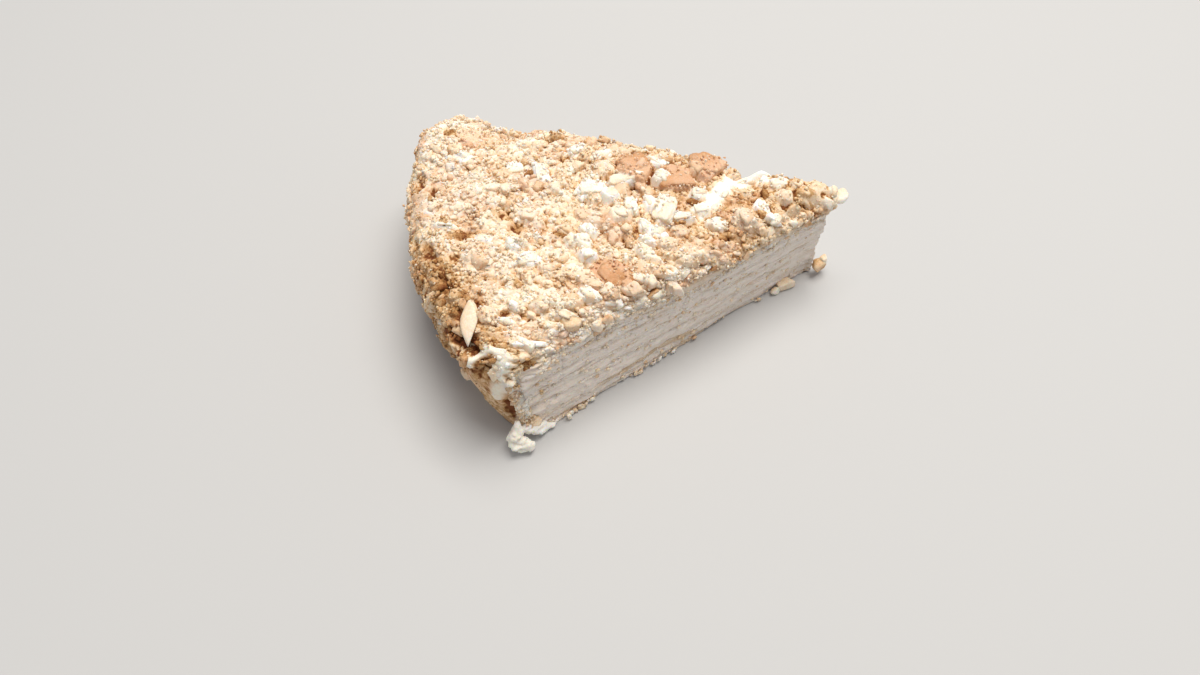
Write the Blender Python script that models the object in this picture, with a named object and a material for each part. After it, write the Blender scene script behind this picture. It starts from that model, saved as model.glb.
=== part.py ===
"""A slice of napoleon cake, cut from a round cake of thin pastry sheets and custard cream.

Six baked sheets and six creams lie on each other, and a coat of pastry crumbs covers the top and the
round rim. The two cut faces meet at the tip, which points along +X. The front cut faces -Y, the rim
faces -X, and the slice rests on z = 0. Metres throughout.
"""

import math
import random

import bmesh
import bpy
from mathutils import Euler, Matrix, Vector, noise
from mathutils.geometry import delaunay_2d_cdt

MM = 0.001

# The whole cake and the two cuts
CAKE_RADIUS = 126.6 * MM
AXIS_OFFSET = Vector((0.0, 9.5 * MM))  # the cuts meet this far from the cake's own axis
HALF_ANGLE = math.radians(24.75)
TIP = Vector((63.2 * MM, 0.8 * MM))  # where the cut planes cross
CORNER_DROP = 7.0 * MM  # how far both corners of the rim are worn back
CORNER_SPREAD = math.radians(7.0)

# The knife leaned as it made the front cut: the foot of the cut stands back at the tip and forward
# at the rim, and its upper end is where the cut planes say
LEAN_AT_TIP = -2.4 * MM
LEAN_AT_RIM = 2.2 * MM
LEAN_FROM = 10.0 * MM
LEAN_TO = 100.0 * MM
LEAN_HEIGHT = 31.0 * MM

# The crumb coat
TOP_HEIGHT = 36.6 * MM
SHOULDER = 9.0 * MM  # radius of the round edge between the top and the rim
SKIRT = 4.6 * MM  # thickness of the coat on the rim
UNDERCUT = 2.5 * MM  # how much the rim leans in at the foot
CORNER_UNDERCUT = 7.0 * MM  # what it would lean in beyond that at the front corner, growing evenly
FULL_FROM = math.radians(18.0)  # past this the foot comes out again towards the front corner
CORNER_FULLNESS = 0.53  # by this share of the corner's undercut
TIP_RADIUS = 2.6 * MM  # the cut planes stop this far before they would meet
COAT_CELL = 2.9 * MM  # size of the coat's facets
RELIEF = 0.85 * MM  # height of the fine crumbs between the large ones
SECTION_RELIEF = 0.7 * MM
WORN_DEPTH = 2.6 * MM  # the top's edge at the front cut has crumbled off to this depth
WORN_WIDTH = 5.0 * MM

# The stack under the coat, from the foot up
GAP = 0.3 * MM
STACK = (
    ("sheet_1", 1.6 * MM),
    ("cream_1", 1.8 * MM),
    ("sheet_2", 2.0 * MM),
    ("cream_2", 3.8 * MM),
    ("sheet_3", 1.4 * MM),
    ("cream_3", 3.3 * MM),
    ("sheet_4", 1.3 * MM),
    ("cream_4", 3.2 * MM),
    ("sheet_5", 1.3 * MM),
    ("cream_5", 2.8 * MM),
    ("sheet_6", 1.4 * MM),
    ("cream_6", 1.8 * MM),
)
STACK_TIP = 5.0 * MM  # the layers end this far before the cut planes meet
CUT_POINTS = 22
RIM_STEP = 7 * MM
SHEET_RAGGED = 0.55 * MM
CREAM_RAGGED = 0.25 * MM
CREAM_BULGE = 0.35 * MM

# Rises and dips of the top: distance from the tip, angle in degrees, height and spread
TOP_SWELLS = (
    (121, -18.5, 2.6, 8),
    (104, -24.0, -5.6, 11),
    (58, -17.0, 1.6, 12),
    (30, -21.0, -4.6, 5.5),
    (37, -8.0, -1.2, 5),
    (14, -8.0, 1.6, 7),
    (85, 8.0, 0.8, 16),
    (112, 20.0, -1.6, 9),
)

# Crumbs large enough to know by sight: distance from the tip, angle in degrees, length, width,
# thickness, turn about the upright and tilt in degrees
TOP_LANDMARKS = (
    (74.4, 17.8, 8.4, 6.2, 2.6, 60, 12),
    (59.9, -15.8, 7.4, 6.4, 4.6, 20, 15),
    (50.2, -10.5, 9.6, 7.0, 3.0, -15, 10),
    (41.6, -15.2, 7.0, 6.0, 5.0, 35, 20),
    (54.0, 2.5, 8.0, 5.4, 2.8, 80, 22),
    (63.3, -0.7, 6.6, 5.8, 3.6, 10, 18),
    (85.4, 20.7, 4.6, 4.2, 3.6, 0, 10),
    (94.7, 9.5, 5.0, 3.2, 2.2, 10, 12),
    (77.5, 6.3, 2.9, 2.6, 2.6, 0, 0),
    (79.4, 12.6, 2.8, 2.6, 2.6, 40, 0),
    (72.0, -17.0, 4.4, 4.0, 2.2, 45, 15),
    (86.3, -21.0, 4.8, 3.0, 3.6, 70, 25),
    (74.8, -0.9, 5.6, 4.4, 3.0, 30, 12),
    (81.4, -7.2, 5.0, 3.6, 2.6, -30, 15),
    (106.2, 22.0, 4.6, 4.0, 3.4, 20, 0),
    (115.5, -19.0, 6.4, 5.2, 4.4, 0, 10),
    (88.0, -22.6, 5.0, 4.4, 3.8, 0, 10),
    (23.3, -8.1, 5.0, 4.4, 3.4, 0, 10),
    (15.5, -12.0, 5.4, 4.6, 3.8, 30, 0),
    (9.5, 4.0, 4.6, 3.8, 3.4, 50, 10),
    (4.6, -6.0, 5.0, 4.2, 4.2, 0, 0),
)
CREAM_SMEAR = (
    (36.0, -15.0, 6.4, 4.2, 1.8, 60, 0),
    (37.6, -7.0, 7.0, 4.6, 1.8, 75, 0),
    (41.0, 1.0, 6.0, 4.0, 1.6, 60, 0),
)
# Chips on the round rim: angle in degrees, height, length, width, thickness, turn in the surface
RIM_LANDMARKS = (
    (12.4, 25.0, 10.5, 3.6, 2.0, 84),
    (22.6, 28.5, 12.5, 8.6, 5.4, 75),
    (17.0, 16.0, 6.2, 4.4, 2.4, 70),
    (2.0, 19.0, 5.4, 4.0, 2.4, 60),
    (-12.0, 22.0, 5.8, 4.6, 2.6, 10),
    (8.0, 9.0, 5.0, 4.2, 2.4, 80),
)
# Crumbs in the plane of the front cut: distance from the tip, distance in front of the cut, height
# of the middle, length, width and height. The first row hangs off the coat at the rim's corner and
# at the tip. The second stands at the foot, where a low crumb ties each to the bottom sheet.
COAT_CUT_CRUMBS = (
    (113.2, 3.6, 2.6, 7.4, 5.6, 5.6),
    (111.4, 1.6, 1.9, 5.0, 4.6, 4.2),
    (-0.4, -0.8, 32.0, 6.2, 5.0, 5.0),
)
FOOT_CRUMBS = (
    (14.7, 0.6, 1.6, 6.4, 4.0, 3.6),
    (14.0, -1.8, 0.5, 6.2, 3.6, 1.2),
    (0.8, -0.8, 3.2, 4.6, 4.2, 5.6),
    (3.6, -1.6, 0.5, 5.2, 3.4, 1.2),
    (97.9, 0.8, 0.5, 2.6, 2.4, 1.3),
)
FREE_CRUMBS = 108
FREE_SIZE = (3.4 * MM, 6.2 * MM)
SLIVER = 0.03 * MM  # edges shorter than this, left where crumbs cross, are closed up
SEED = 7

# Finishes: sRGB colour as three bytes, and roughness
PASTRY = ("baked_pastry", (214, 172, 118), 0.8)
CREAM = ("custard_cream", (226, 216, 198), 0.55)
CRUMBS = ("pastry_crumbs", (226, 190, 136), 0.85)


def clear_scene():
    for thing in list(bpy.data.objects):
        bpy.data.objects.remove(thing)


def linear(byte):
    value = byte / 255
    return value / 12.92 if value <= 0.04045 else ((value + 0.055) / 1.055) ** 2.4


def finish(name, colour, roughness):
    """A Principled material, made once for each name."""
    material = bpy.data.materials.get(name)
    if material is None:
        material = bpy.data.materials.new(name)
        material.use_nodes = True
        shader = material.node_tree.nodes["Principled BSDF"]
        shader.inputs["Base Color"].default_value = (*map(linear, colour), 1.0)
        shader.inputs["Roughness"].default_value = roughness
        material.diffuse_color = (*map(linear, colour), 1.0)
    return material


def show(bm, name, look):
    """Puts a mesh into the scene as a named object with its material."""
    mesh = bpy.data.meshes.new(name)
    bm.to_mesh(mesh)
    bm.free()
    mesh.materials.append(finish(*look))
    thing = bpy.data.objects.new(name, mesh)
    bpy.context.scene.collection.objects.link(thing)
    return thing


def wobble(point, size, seed):
    """Smooth noise from -1 to 1 with features of about this size."""
    return noise.noise(point / size + Vector((17.3, 5.1, 9.7)) * seed)


# The form of the slice: angles are from the slice's middle line, positive to the front cut


def plan(distance, angle, z):
    """The point this far from the tip, at this angle and height."""
    return Vector((TIP.x - distance * math.cos(angle), TIP.y - distance * math.sin(angle), z))


def across(side):
    """The way straight out of a cut face: the front one for side 1, the back one for side -1."""
    return Vector((math.sin(side * HALF_ANGLE), -math.cos(side * HALF_ANGLE), 0)) * side


def lean(point):
    """Moves a point of the upright slice with the lean of the front cut."""
    away = TIP - point.xy
    share = max(0.0, math.atan2(away.y, away.x) / HALF_ANGLE) ** 2 if away.length > LEAN_FROM / 4 else 0.0
    reach = min(1.0, max(0.0, (away.length - LEAN_FROM) / (LEAN_TO - LEAN_FROM)))
    amount = LEAN_AT_TIP + (LEAN_AT_RIM - LEAN_AT_TIP) * reach
    return point + across(1) * amount * min(1.0, share) * max(0.0, 1.0 - point.z / LEAN_HEIGHT)


def outer_radius(angle):
    """Distance from the tip to the outside of the coat, on the round cake less its worn corners."""
    way = Vector((-math.cos(angle), -math.sin(angle)))
    along = AXIS_OFFSET.dot(way)
    across = AXIS_OFFSET.x * way.y - AXIS_OFFSET.y * way.x
    round_cake = along + math.sqrt(CAKE_RADIUS**2 - across**2)
    near_corner = max(0.0, abs(angle) - HALF_ANGLE + CORNER_SPREAD) / CORNER_SPREAD
    return round_cake - CORNER_DROP * near_corner**2


def wall_radius(angle, z):
    """Distance from the tip to the rim at a height: the rim leans in at its foot."""
    near_front = max(0.0, min(angle, FULL_FROM)) / HALF_ANGLE
    near_front -= CORNER_FULLNESS * max(0.0, angle - FULL_FROM) / (HALF_ANGLE - FULL_FROM)
    lean = UNDERCUT + CORNER_UNDERCUT * near_front
    below = max(0.0, 1.0 - z / (TOP_HEIGHT - SHOULDER))
    return outer_radius(angle) - lean * below**1.5


def top_height(distance, angle):
    """Height of the top, with its rises and dips and its worn edge."""
    here = plan(distance, angle, 0.0)
    from_cut = distance * math.sin(max(0.0, HALF_ANGLE - angle))
    height = TOP_HEIGHT - WORN_DEPTH * max(0.0, 1.0 - from_cut / WORN_WIDTH) ** 2
    for far, degrees, rise, spread in TOP_SWELLS:
        away = (here - plan(far * MM, math.radians(degrees), 0.0)).length / (spread * MM)
        height += rise * MM * math.exp(-away * away)
    return height


# The coat's skin is a sheet unrolled from the tip over the shoulder and down to the foot

SKIN_LENGTH = CAKE_RADIUS - 2 * SHOULDER + SHOULDER * math.pi / 2 + TOP_HEIGHT
SKIN_WIDTH_AT = CAKE_RADIUS  # past this far along, the skin grows no wider


def skin(along, angle):
    """The point of the smooth skin at a place on the unrolled sheet."""
    radius = outer_radius(angle)
    flat = radius - SHOULDER
    bend = SHOULDER * math.pi / 2
    wall = top_height(flat, angle) - SHOULDER
    way = along * (flat + bend + wall) / SKIN_LENGTH
    if way < flat:
        return plan(way, angle, top_height(way, angle))
    if way < flat + bend:
        turn = (way - flat) / SHOULDER
        return plan(flat + SHOULDER * math.sin(turn), angle, wall + SHOULDER * math.cos(turn))
    z = max(0.0, flat + bend + wall - way)
    return plan(wall_radius(angle, z), angle, z)


def outward(along, angle):
    """The way straight out of the skin."""
    apart = 0.5 * MM
    turn = apart / max(along, 4 * MM)
    down = skin(along + apart, angle) - skin(along - apart, angle)
    sideways = skin(along, angle + turn) - skin(along, angle - turn)
    return down.cross(sideways).normalized()


def rough_skin(along, angle):
    """The skin with the fine crumbs' relief. The foot stays level."""
    smooth = skin(along, angle)
    height = 1.5 * wobble(smooth, 1.9 * MM, 1) + 0.5 * wobble(smooth, 7.5 * MM, 2)
    point = smooth + outward(along, angle) * RELIEF * height
    point.z = 0.0 if smooth.z < 0.01 * MM else max(point.z, 0.2 * MM)
    return point


def sheet_width(along):
    return min(along, SKIN_WIDTH_AT) * HALF_ANGLE


def steps(start, end, size):
    """Evenly spaced values from start to end, about this size apart."""
    count = max(1, round(abs(end - start) / size))
    return [start + (end - start) * i / count for i in range(count + 1)]


def triangles(border, inside):
    """Delaunay triangles within a closed border: ([(x, y)], [(a, b, c)])."""
    flat = [Vector(p) for p in border + inside]
    edges = [(i, (i + 1) % len(border)) for i in range(len(border))]
    made = delaunay_2d_cdt(flat, edges, [], 1, 1e-9)
    return [tuple(p) for p in made[0]], made[2]


def add_patch(bm, points, faces):
    verts = [bm.verts.new(p) for p in points]
    for face in faces:
        bm.faces.new([verts[i] for i in face])


def add_skin(bm, draw):
    """The crumbed outside: the top, the shoulder and the rim."""
    rows = steps(TIP_RADIUS, SKIN_LENGTH, COAT_CELL)
    foot = steps(-sheet_width(SKIN_LENGTH), sheet_width(SKIN_LENGTH), COAT_CELL)
    border = [(s, -sheet_width(s)) for s in rows]
    border += [(SKIN_LENGTH, t) for t in foot[1:-1]]
    border += [(s, sheet_width(s)) for s in reversed(rows)]
    inside = []
    margin = 0.55 * COAT_CELL
    for row, s in enumerate(steps(TIP_RADIUS + COAT_CELL, SKIN_LENGTH - COAT_CELL, 0.87 * COAT_CELL)):
        width = sheet_width(s) - margin
        t = -width + (row % 2) * 0.5 * COAT_CELL
        while t < width:
            jitter = [draw.uniform(-0.22, 0.22) * COAT_CELL for _ in range(2)]
            inside.append((s + jitter[0], max(-width, min(width, t + jitter[1]))))
            t += COAT_CELL
    flat, faces = triangles(border, inside)
    angle = [t / min(s, SKIN_WIDTH_AT) for s, t in flat]
    add_patch(bm, [rough_skin(p[0], a) for p, a in zip(flat, angle)], faces)


def core_radius(angle, z):
    """Distance from the tip to the inside of the coat on the rim."""
    return wall_radius(angle, z) - SKIRT


def stack_height():
    return sum(thickness + GAP for _, thickness in STACK)


def tip_distance(angle):
    """Distance from the tip at which the skin starts on this cut plane."""
    return (skin(TIP_RADIUS, angle).xy - TIP).length


def add_section(bm, side, draw):
    """The coat's broken edge on a cut plane: over the layers and down the rim."""
    angle = side * HALF_ANGLE
    ceiling = stack_height()
    rows = steps(TIP_RADIUS, SKIN_LENGTH, COAT_CELL)
    outside = [skin(s, angle) for s in rows]
    border = [((p.xy - TIP).length, p.z) for p in outside]
    solid = {p: rough_skin(s, angle) for p, s in zip(border, rows)}
    border += [(core_radius(angle, z), z) for z in steps(0.0, ceiling, 6 * MM)]
    border += [(r, ceiling) for r in ceiling_rows(angle)[1:]]
    inside = []
    near = 0.5 * COAT_CELL
    low = ceiling + 0.8 * near
    for r in steps(TIP_RADIUS + COAT_CELL, outer_radius(angle) - COAT_CELL, 0.9 * COAT_CELL):
        for z in steps(low, TOP_HEIGHT + 3 * MM, 0.75 * COAT_CELL):
            place = (r + draw.uniform(-1, 1) * 0.2 * COAT_CELL, z + draw.uniform(-1, 1) * 0.15 * COAT_CELL)
            if min((Vector(place) - Vector(edge)).length for edge in border) > near and covered(place, angle):
                inside.append(place)
    flat, faces = triangles(border, inside)
    points = []
    for r, z in flat:
        key = min(solid, key=lambda p: (p[0] - r) ** 2 + (p[1] - z) ** 2)
        if (key[0] - r) ** 2 + (key[1] - z) ** 2 < (0.001 * MM) ** 2:
            points.append(solid[key])
            continue
        loose = any((Vector((r, z)) - Vector(p)).length < 0.001 * MM for p in inside)
        bump = SECTION_RELIEF * draw.uniform(-0.6, 1.0) if loose else 0.0
        points.append(plan(r, angle, z) + across(side) * bump)
    add_patch(bm, points, faces)


def covered(place, angle):
    """Whether a place on the cut plane lies in the coat, over the layers."""
    r, z = place
    if r > outer_radius(angle) - SHOULDER:
        over = r - outer_radius(angle) + SHOULDER
        return z < top_height(r, angle) - SHOULDER + math.sqrt(max(0.0, SHOULDER**2 - over**2)) - 0.4 * COAT_CELL
    return z < top_height(r, angle) - 0.4 * COAT_CELL


def ceiling_rows(angle):
    """Distances from the tip of the points along the coat's underside at a cut plane, rim first."""
    return steps(core_radius(angle, stack_height()), tip_distance(angle), 6 * MM)


def rim_angles():
    """Angles of the points round the rim, the same for the layers and for the coat's inner wall."""
    return steps(HALF_ANGLE, -HALF_ANGLE, RIM_STEP / CAKE_RADIUS)


def add_inside(bm):
    """The coat's underside over the top cream, its inner wall round the layers, and its foot."""
    ceiling = stack_height()
    levels = steps(0.0, ceiling, 6 * MM)
    columns = rim_angles()
    wall = [[plan(core_radius(a, z), a, z) for z in levels] for a in columns]
    points = [p for column in wall for p in column]
    count = len(levels)
    faces = []
    for c in range(len(columns) - 1):
        for k in range(count - 1):
            near, far = c * count + k, (c + 1) * count + k
            faces.append((near, far, far + 1, near + 1))
    add_patch(bm, points, faces)
    front = [plan(r, HALF_ANGLE, ceiling) for r in ceiling_rows(HALF_ANGLE)]
    back = [plan(r, -HALF_ANGLE, ceiling) for r in ceiling_rows(-HALF_ANGLE)]
    under = front[::-1] + [column[-1] for column in wall[1:-1]] + back
    add_patch(bm, under, [range(len(under))])
    foot = steps(-sheet_width(SKIN_LENGTH), sheet_width(SKIN_LENGTH), COAT_CELL)
    ring = [rough_skin(SKIN_LENGTH, t / SKIN_WIDTH_AT) for t in foot]
    ring += [column[0] for column in wall]
    add_patch(bm, ring, [range(len(ring))])


def add_tip(bm):
    """The narrow end face of the coat, where the cut planes nearly meet."""
    corners = []
    for angle in (HALF_ANGLE, -HALF_ANGLE):
        low = plan(tip_distance(angle), angle, stack_height())
        high = rough_skin(TIP_RADIUS, angle)
        corners += [low, high] if angle > 0 else [high, low]
    add_patch(bm, corners, [range(4)])


def whole_body(bm):
    """Keeps the largest connected body: a scrap, or the wall of a hollow that fusing sealed, goes."""
    left = set(bm.verts)
    bodies = []
    while left:
        body, edge = set(), [left.pop()]
        while edge:
            vert = edge.pop()
            body.add(vert)
            for link in vert.link_edges:
                other = link.other_vert(vert)
                if other in left:
                    left.discard(other)
                    edge.append(other)
        bodies.append(body)
    bodies.sort(key=len)
    bmesh.ops.delete(bm, geom=[v for body in bodies[:-1] for v in body], context="VERTS")


# Crumbs


def chip(size, turn, draw):
    """A broken crumb about the origin: a facetted lump with uneven corners."""
    bm = bmesh.new()
    bmesh.ops.create_icosphere(bm, subdivisions=1, radius=0.5)
    for vert in bm.verts:
        vert.co *= draw.uniform(0.82, 1.16)
    bmesh.ops.transform(bm, matrix=turn.to_4x4() @ Matrix.Diagonal((*size, 1.0)), verts=bm.verts)
    return bm


def add_crumb(pieces, bm, place):
    """Moves a crumb to its place, flat where it meets the ground, and keeps it for the union."""
    for vert in bm.verts:
        vert.co += place
        vert.co.z = max(vert.co.z, 0.0)
    mesh = bpy.data.meshes.new("crumb")
    bm.to_mesh(mesh)
    bm.free()
    crumb = bpy.data.objects.new("crumb", mesh)
    pieces.objects.link(crumb)


def lying(normal, yaw, tilt):
    """A turn that lays a crumb's flat side on a surface with this normal."""
    on_surface = normal.to_track_quat("Z", "Y").to_matrix()
    return on_surface @ Euler((tilt, 0.0, yaw)).to_matrix()


def add_top_chips(pieces, chips, rise, draw):
    """Crumbs that lie on the top, sunk by all but this share of their thickness."""
    for far, degrees, length, width, thick, yaw, tilt in chips:
        angle = math.radians(degrees)
        place = plan(far * MM, angle, top_height(far * MM, angle) + (rise - 0.5) * thick * MM)
        turn = lying(Vector((0, 0, 1)), math.radians(yaw), math.radians(tilt))
        add_crumb(pieces, chip((length * MM, width * MM, thick * MM), turn, draw), place)


def add_rim_chips(pieces, draw):
    for degrees, z, length, width, thick, yaw in RIM_LANDMARKS:
        angle = math.radians(degrees)
        level = skin_at_height(angle, z * MM)
        normal = outward(level, angle)
        turn = lying(normal, math.radians(yaw), 0.0)
        crumb = chip((length * MM, width * MM, thick * MM), turn, draw)
        add_crumb(pieces, crumb, lean(skin(level, angle)) + normal * 0.15 * thick * MM)


def add_cut_crumbs(pieces, crumbs, draw):
    """Crumbs that hang in front of the front cut."""
    for far, front, z, length, width, high in crumbs:
        turn = lying(Vector((0, 0, 1)), HALF_ANGLE, 0.0)
        crumb = chip((length * MM, width * MM, high * MM), turn, draw)
        add_crumb(pieces, crumb, plan(far * MM, HALF_ANGLE, z * MM) + across(1) * front * MM)


def skin_at_height(angle, z):
    """How far along the unrolled skin the rim reaches this height."""
    low, high = SKIN_LENGTH - TOP_HEIGHT, SKIN_LENGTH
    for _ in range(30):
        middle = (low + high) / 2
        low, high = (middle, high) if skin(middle, angle).z > z else (low, middle)
    return low


def add_free_crumbs(pieces, draw):
    """Crumbs scattered on the skin by dart throwing, none close to another."""
    taken = []
    tries = 0
    while len(taken) < FREE_CRUMBS and tries < 60 * FREE_CRUMBS:
        tries += 1
        size = draw.uniform(*FREE_SIZE) * draw.uniform(0.8, 1.0)
        s = SKIN_LENGTH * math.sqrt(draw.uniform(0.004, 0.96))
        t = draw.uniform(-1, 1) * (sheet_width(s) - 0.6 * size)
        angle = t / min(s, SKIN_WIDTH_AT)
        point, normal = skin(s, angle), outward(s, angle)
        if point.z < 0.6 * size or any((point - other).length < 0.62 * (size + wide) for other, wide in taken):
            continue
        taken.append((point, size))
        turn = lying(normal, draw.uniform(0, math.tau), draw.uniform(-0.35, 0.35))
        form = (size, size * draw.uniform(0.65, 0.95), size * draw.uniform(0.45, 0.8))
        add_crumb(pieces, chip(form, turn, draw), lean(point) + normal * 0.16 * size)


def close_slivers(bm):
    """Closes up edges too short to matter, wherever that leaves the surface whole."""
    closed = True
    while closed:
        closed = {}
        touched = set()
        for edge in sorted(bm.edges, key=bmesh.types.BMEdge.calc_length):
            if edge.calc_length() > SLIVER:
                break
            around = [{e.other_vert(vert) for e in vert.link_edges} for vert in edge.verts]
            if len(around[0] & around[1]) == 2 and not touched & (around[0] | around[1]):
                closed[edge.verts[0]] = edge.verts[1]
                touched |= around[0] | around[1]
        bmesh.ops.weld_verts(bm, targetmap=closed)


def fuse(body, pieces):
    """Joins a collection of crumbs to a body by one Boolean union, and applies it."""
    union = body.modifiers.new("crumbs", "BOOLEAN")
    union.operation = "UNION"
    union.operand_type = "COLLECTION"
    union.collection = pieces
    union.solver = "EXACT"
    bpy.context.view_layer.update()
    graph = bpy.context.evaluated_depsgraph_get()
    bm = bmesh.new()
    bm.from_mesh(bpy.data.meshes.new_from_object(body.evaluated_get(graph)))
    body.modifiers.clear()
    for crumb in list(pieces.objects):
        bpy.data.objects.remove(crumb)
    bpy.data.collections.remove(pieces)
    whole_body(bm)
    bmesh.ops.triangulate(bm, faces=bm.faces)
    close_slivers(bm)
    bm.to_mesh(body.data)
    bm.free()


def new_pieces(name):
    pieces = bpy.data.collections.new(name)
    bpy.context.scene.collection.children.link(pieces)
    return pieces


# The layers


def ragged_cut(side, z_low, z_high, seed, depth, bulge):
    """Rows of points down one cut face, from the tip to the rim, at each level of the layer."""
    angle = side * HALF_ANGLE
    levels = [0.0, 0.5, 1.0] if bulge else [0.0, 1.0]
    rows = []
    for level in levels:
        z = z_low + (z_high - z_low) * level
        far = core_radius(angle, z) - GAP
        row = []
        for i in range(CUT_POINTS):
            r = STACK_TIP + (far - STACK_TIP) * i / (CUT_POINTS - 1)
            here = plan(r, angle, z)
            ragged = wobble(here, 3.7 * MM, seed) + 0.6 * wobble(here, 11 * MM, seed + 0.5)
            out = depth * ragged - 0.2 * MM + (bulge if level == 0.5 else 0.0)
            row.append(here + across(side) * out)
        rows.append(row)
    return rows


def build_layer(name, z_low, z_high, seed):
    """A sheet or a cream: a slab with ragged cut faces, which ends inside the coat at the rim."""
    is_cream = name.startswith("cream")
    depth = CREAM_RAGGED if is_cream else SHEET_RAGGED
    bulge = CREAM_BULGE if is_cream else 0.0
    front = ragged_cut(1, z_low, z_high, seed, depth, bulge)
    back = ragged_cut(-1, z_low, z_high, seed + 3, depth, bulge)
    bm = bmesh.new()
    rings = []
    for near, far in zip(front, back):
        z = near[0].z
        rim = [plan(core_radius(a, z) - GAP, a, z) for a in rim_angles()[1:-1]]
        rings.append([bm.verts.new(lean(p)) for p in near + rim + far[::-1]])
    for low, high in zip(rings, rings[1:]):
        for i in range(len(low)):
            j = (i + 1) % len(low)
            bm.faces.new((low[i], high[i], high[j], low[j]))
    bm.faces.new(rings[0])
    bm.faces.new(rings[-1][::-1])
    bmesh.ops.recalc_face_normals(bm, faces=bm.faces)
    return show(bm, name, CREAM if is_cream else PASTRY)


def build_coat():
    """The crumb coat over the top and the rim, with its large crumbs fused on."""
    draw = random.Random(SEED)
    bm = bmesh.new()
    add_skin(bm, draw)
    add_section(bm, 1, draw)
    add_section(bm, -1, draw)
    add_inside(bm)
    add_tip(bm)
    bmesh.ops.remove_doubles(bm, verts=bm.verts, dist=0.005 * MM)
    bmesh.ops.triangulate(bm, faces=bm.faces)
    for vert in bm.verts:
        vert.co = lean(vert.co)
    bmesh.ops.recalc_face_normals(bm, faces=bm.faces)
    coat = show(bm, "crumb_coat", CRUMBS)
    pieces = new_pieces("coat_crumbs")
    add_top_chips(pieces, TOP_LANDMARKS, 0.55, draw)
    add_top_chips(pieces, CREAM_SMEAR, 0.6, draw)
    add_rim_chips(pieces, draw)
    add_cut_crumbs(pieces, COAT_CUT_CRUMBS, draw)
    add_free_crumbs(pieces, draw)
    fuse(coat, pieces)
    return coat


def build_layers():
    """The stack from the foot up, each layer a little clear of the one below."""
    z = 0.0
    layers = []
    for seed, (name, thickness) in enumerate(STACK, 1):
        layers.append(build_layer(name, z, z + thickness, seed))
        z += thickness + GAP
    pieces = new_pieces("foot_crumbs")
    add_cut_crumbs(pieces, FOOT_CRUMBS, random.Random(SEED + 1))
    fuse(layers[0], pieces)
    return layers


def main():
    clear_scene()
    build_layers()
    build_coat()


main()
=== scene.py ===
"""Dresses the slice of napoleon cake: packed pastry crumbs, baked sheets and smeared custard cream.

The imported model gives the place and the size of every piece. Sizes here are in millimetres until a
mesh is made, and angles are measured at the tip from the slice's middle line, positive towards the
front cut.
"""

from __future__ import annotations

import logging
import math
from dataclasses import dataclass, field
from enum import Enum
from functools import lru_cache
from typing import Any, ClassVar

import bmesh
import bpy
import numpy as np
from mathutils import Matrix, Vector, noise


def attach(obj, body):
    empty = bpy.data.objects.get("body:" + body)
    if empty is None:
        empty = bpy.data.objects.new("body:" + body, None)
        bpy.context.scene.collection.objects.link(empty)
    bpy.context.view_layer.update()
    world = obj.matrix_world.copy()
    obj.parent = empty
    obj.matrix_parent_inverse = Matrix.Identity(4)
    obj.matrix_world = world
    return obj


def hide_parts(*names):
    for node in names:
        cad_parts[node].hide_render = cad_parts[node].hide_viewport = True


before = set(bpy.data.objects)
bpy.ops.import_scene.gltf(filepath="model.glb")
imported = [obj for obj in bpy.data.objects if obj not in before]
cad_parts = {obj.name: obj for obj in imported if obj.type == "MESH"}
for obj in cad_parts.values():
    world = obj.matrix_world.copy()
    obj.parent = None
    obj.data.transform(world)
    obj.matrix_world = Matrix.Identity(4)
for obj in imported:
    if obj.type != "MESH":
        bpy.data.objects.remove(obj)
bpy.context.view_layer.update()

Array = np.ndarray
Chance = np.random.Generator
Material, NodeTree, Object = bpy.types.Material, bpy.types.NodeTree, bpy.types.Object
MM = 0.001
BODY = "root"
PHOTO_WIDTH = 1200
LATTICE = 256
BACK_SHIFT = 300.0
EASED_FROM = 39.5
EASED_OVER = 1.6
LOG = logging.getLogger("napoleon_cake")


def srgb(colour: str) -> tuple[float, float, float, float]:
    """Turns a hex colour into linear light.

    Args:
        colour: six hex digits after a hash sign.

    Returns:
        Red, green, blue and an alpha of one.
    """
    parts = [int(colour[i : i + 2], 16) / 255 for i in (1, 3, 5)]
    light = [c / 12.92 if c <= 0.04045 else ((c + 0.055) / 1.055) ** 2.4 for c in parts]
    return (*light, 1.0)


def smooth(value: Array) -> Array:
    """Eases a value from 0 to 1 along an S curve."""
    held = np.clip(value, 0.0, 1.0)
    return held * held * (3.0 - 2.0 * held)


@lru_cache(maxsize=None)
def lattice(seed: int) -> Array:
    """Gives a square of random heights for one pattern of noise."""
    return np.random.default_rng(seed).uniform(-1, 1, (LATTICE, LATTICE))


def waves(x: Array, y: Array, seed: int) -> Array:
    """Gives smooth noise over a plane, with features about one unit across.

    Args:
        x: first coordinate, in features.
        y: second coordinate, in features.
        seed: picks the pattern.

    Returns:
        Values from -1 to 1.
    """
    heights = lattice(seed)
    x, y = np.broadcast_arrays(np.asarray(x, float), np.asarray(y, float))
    column, row = np.floor(x).astype(int), np.floor(y).astype(int)
    across, down = smooth(x - column), smooth(y - row)
    left, right = column % LATTICE, (column + 1) % LATTICE
    top, low = row % LATTICE, (row + 1) % LATTICE
    upper = heights[top, left] * (1 - across) + heights[top, right] * across
    lower = heights[low, left] * (1 - across) + heights[low, right] * across
    return upper * (1 - down) + lower * down


@dataclass(frozen=True)
class Pattern:
    """One layer of smooth noise: its strength, its size in millimetres both ways, and its seed."""

    strength: float
    long: float
    wide: float
    seed: int


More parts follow.
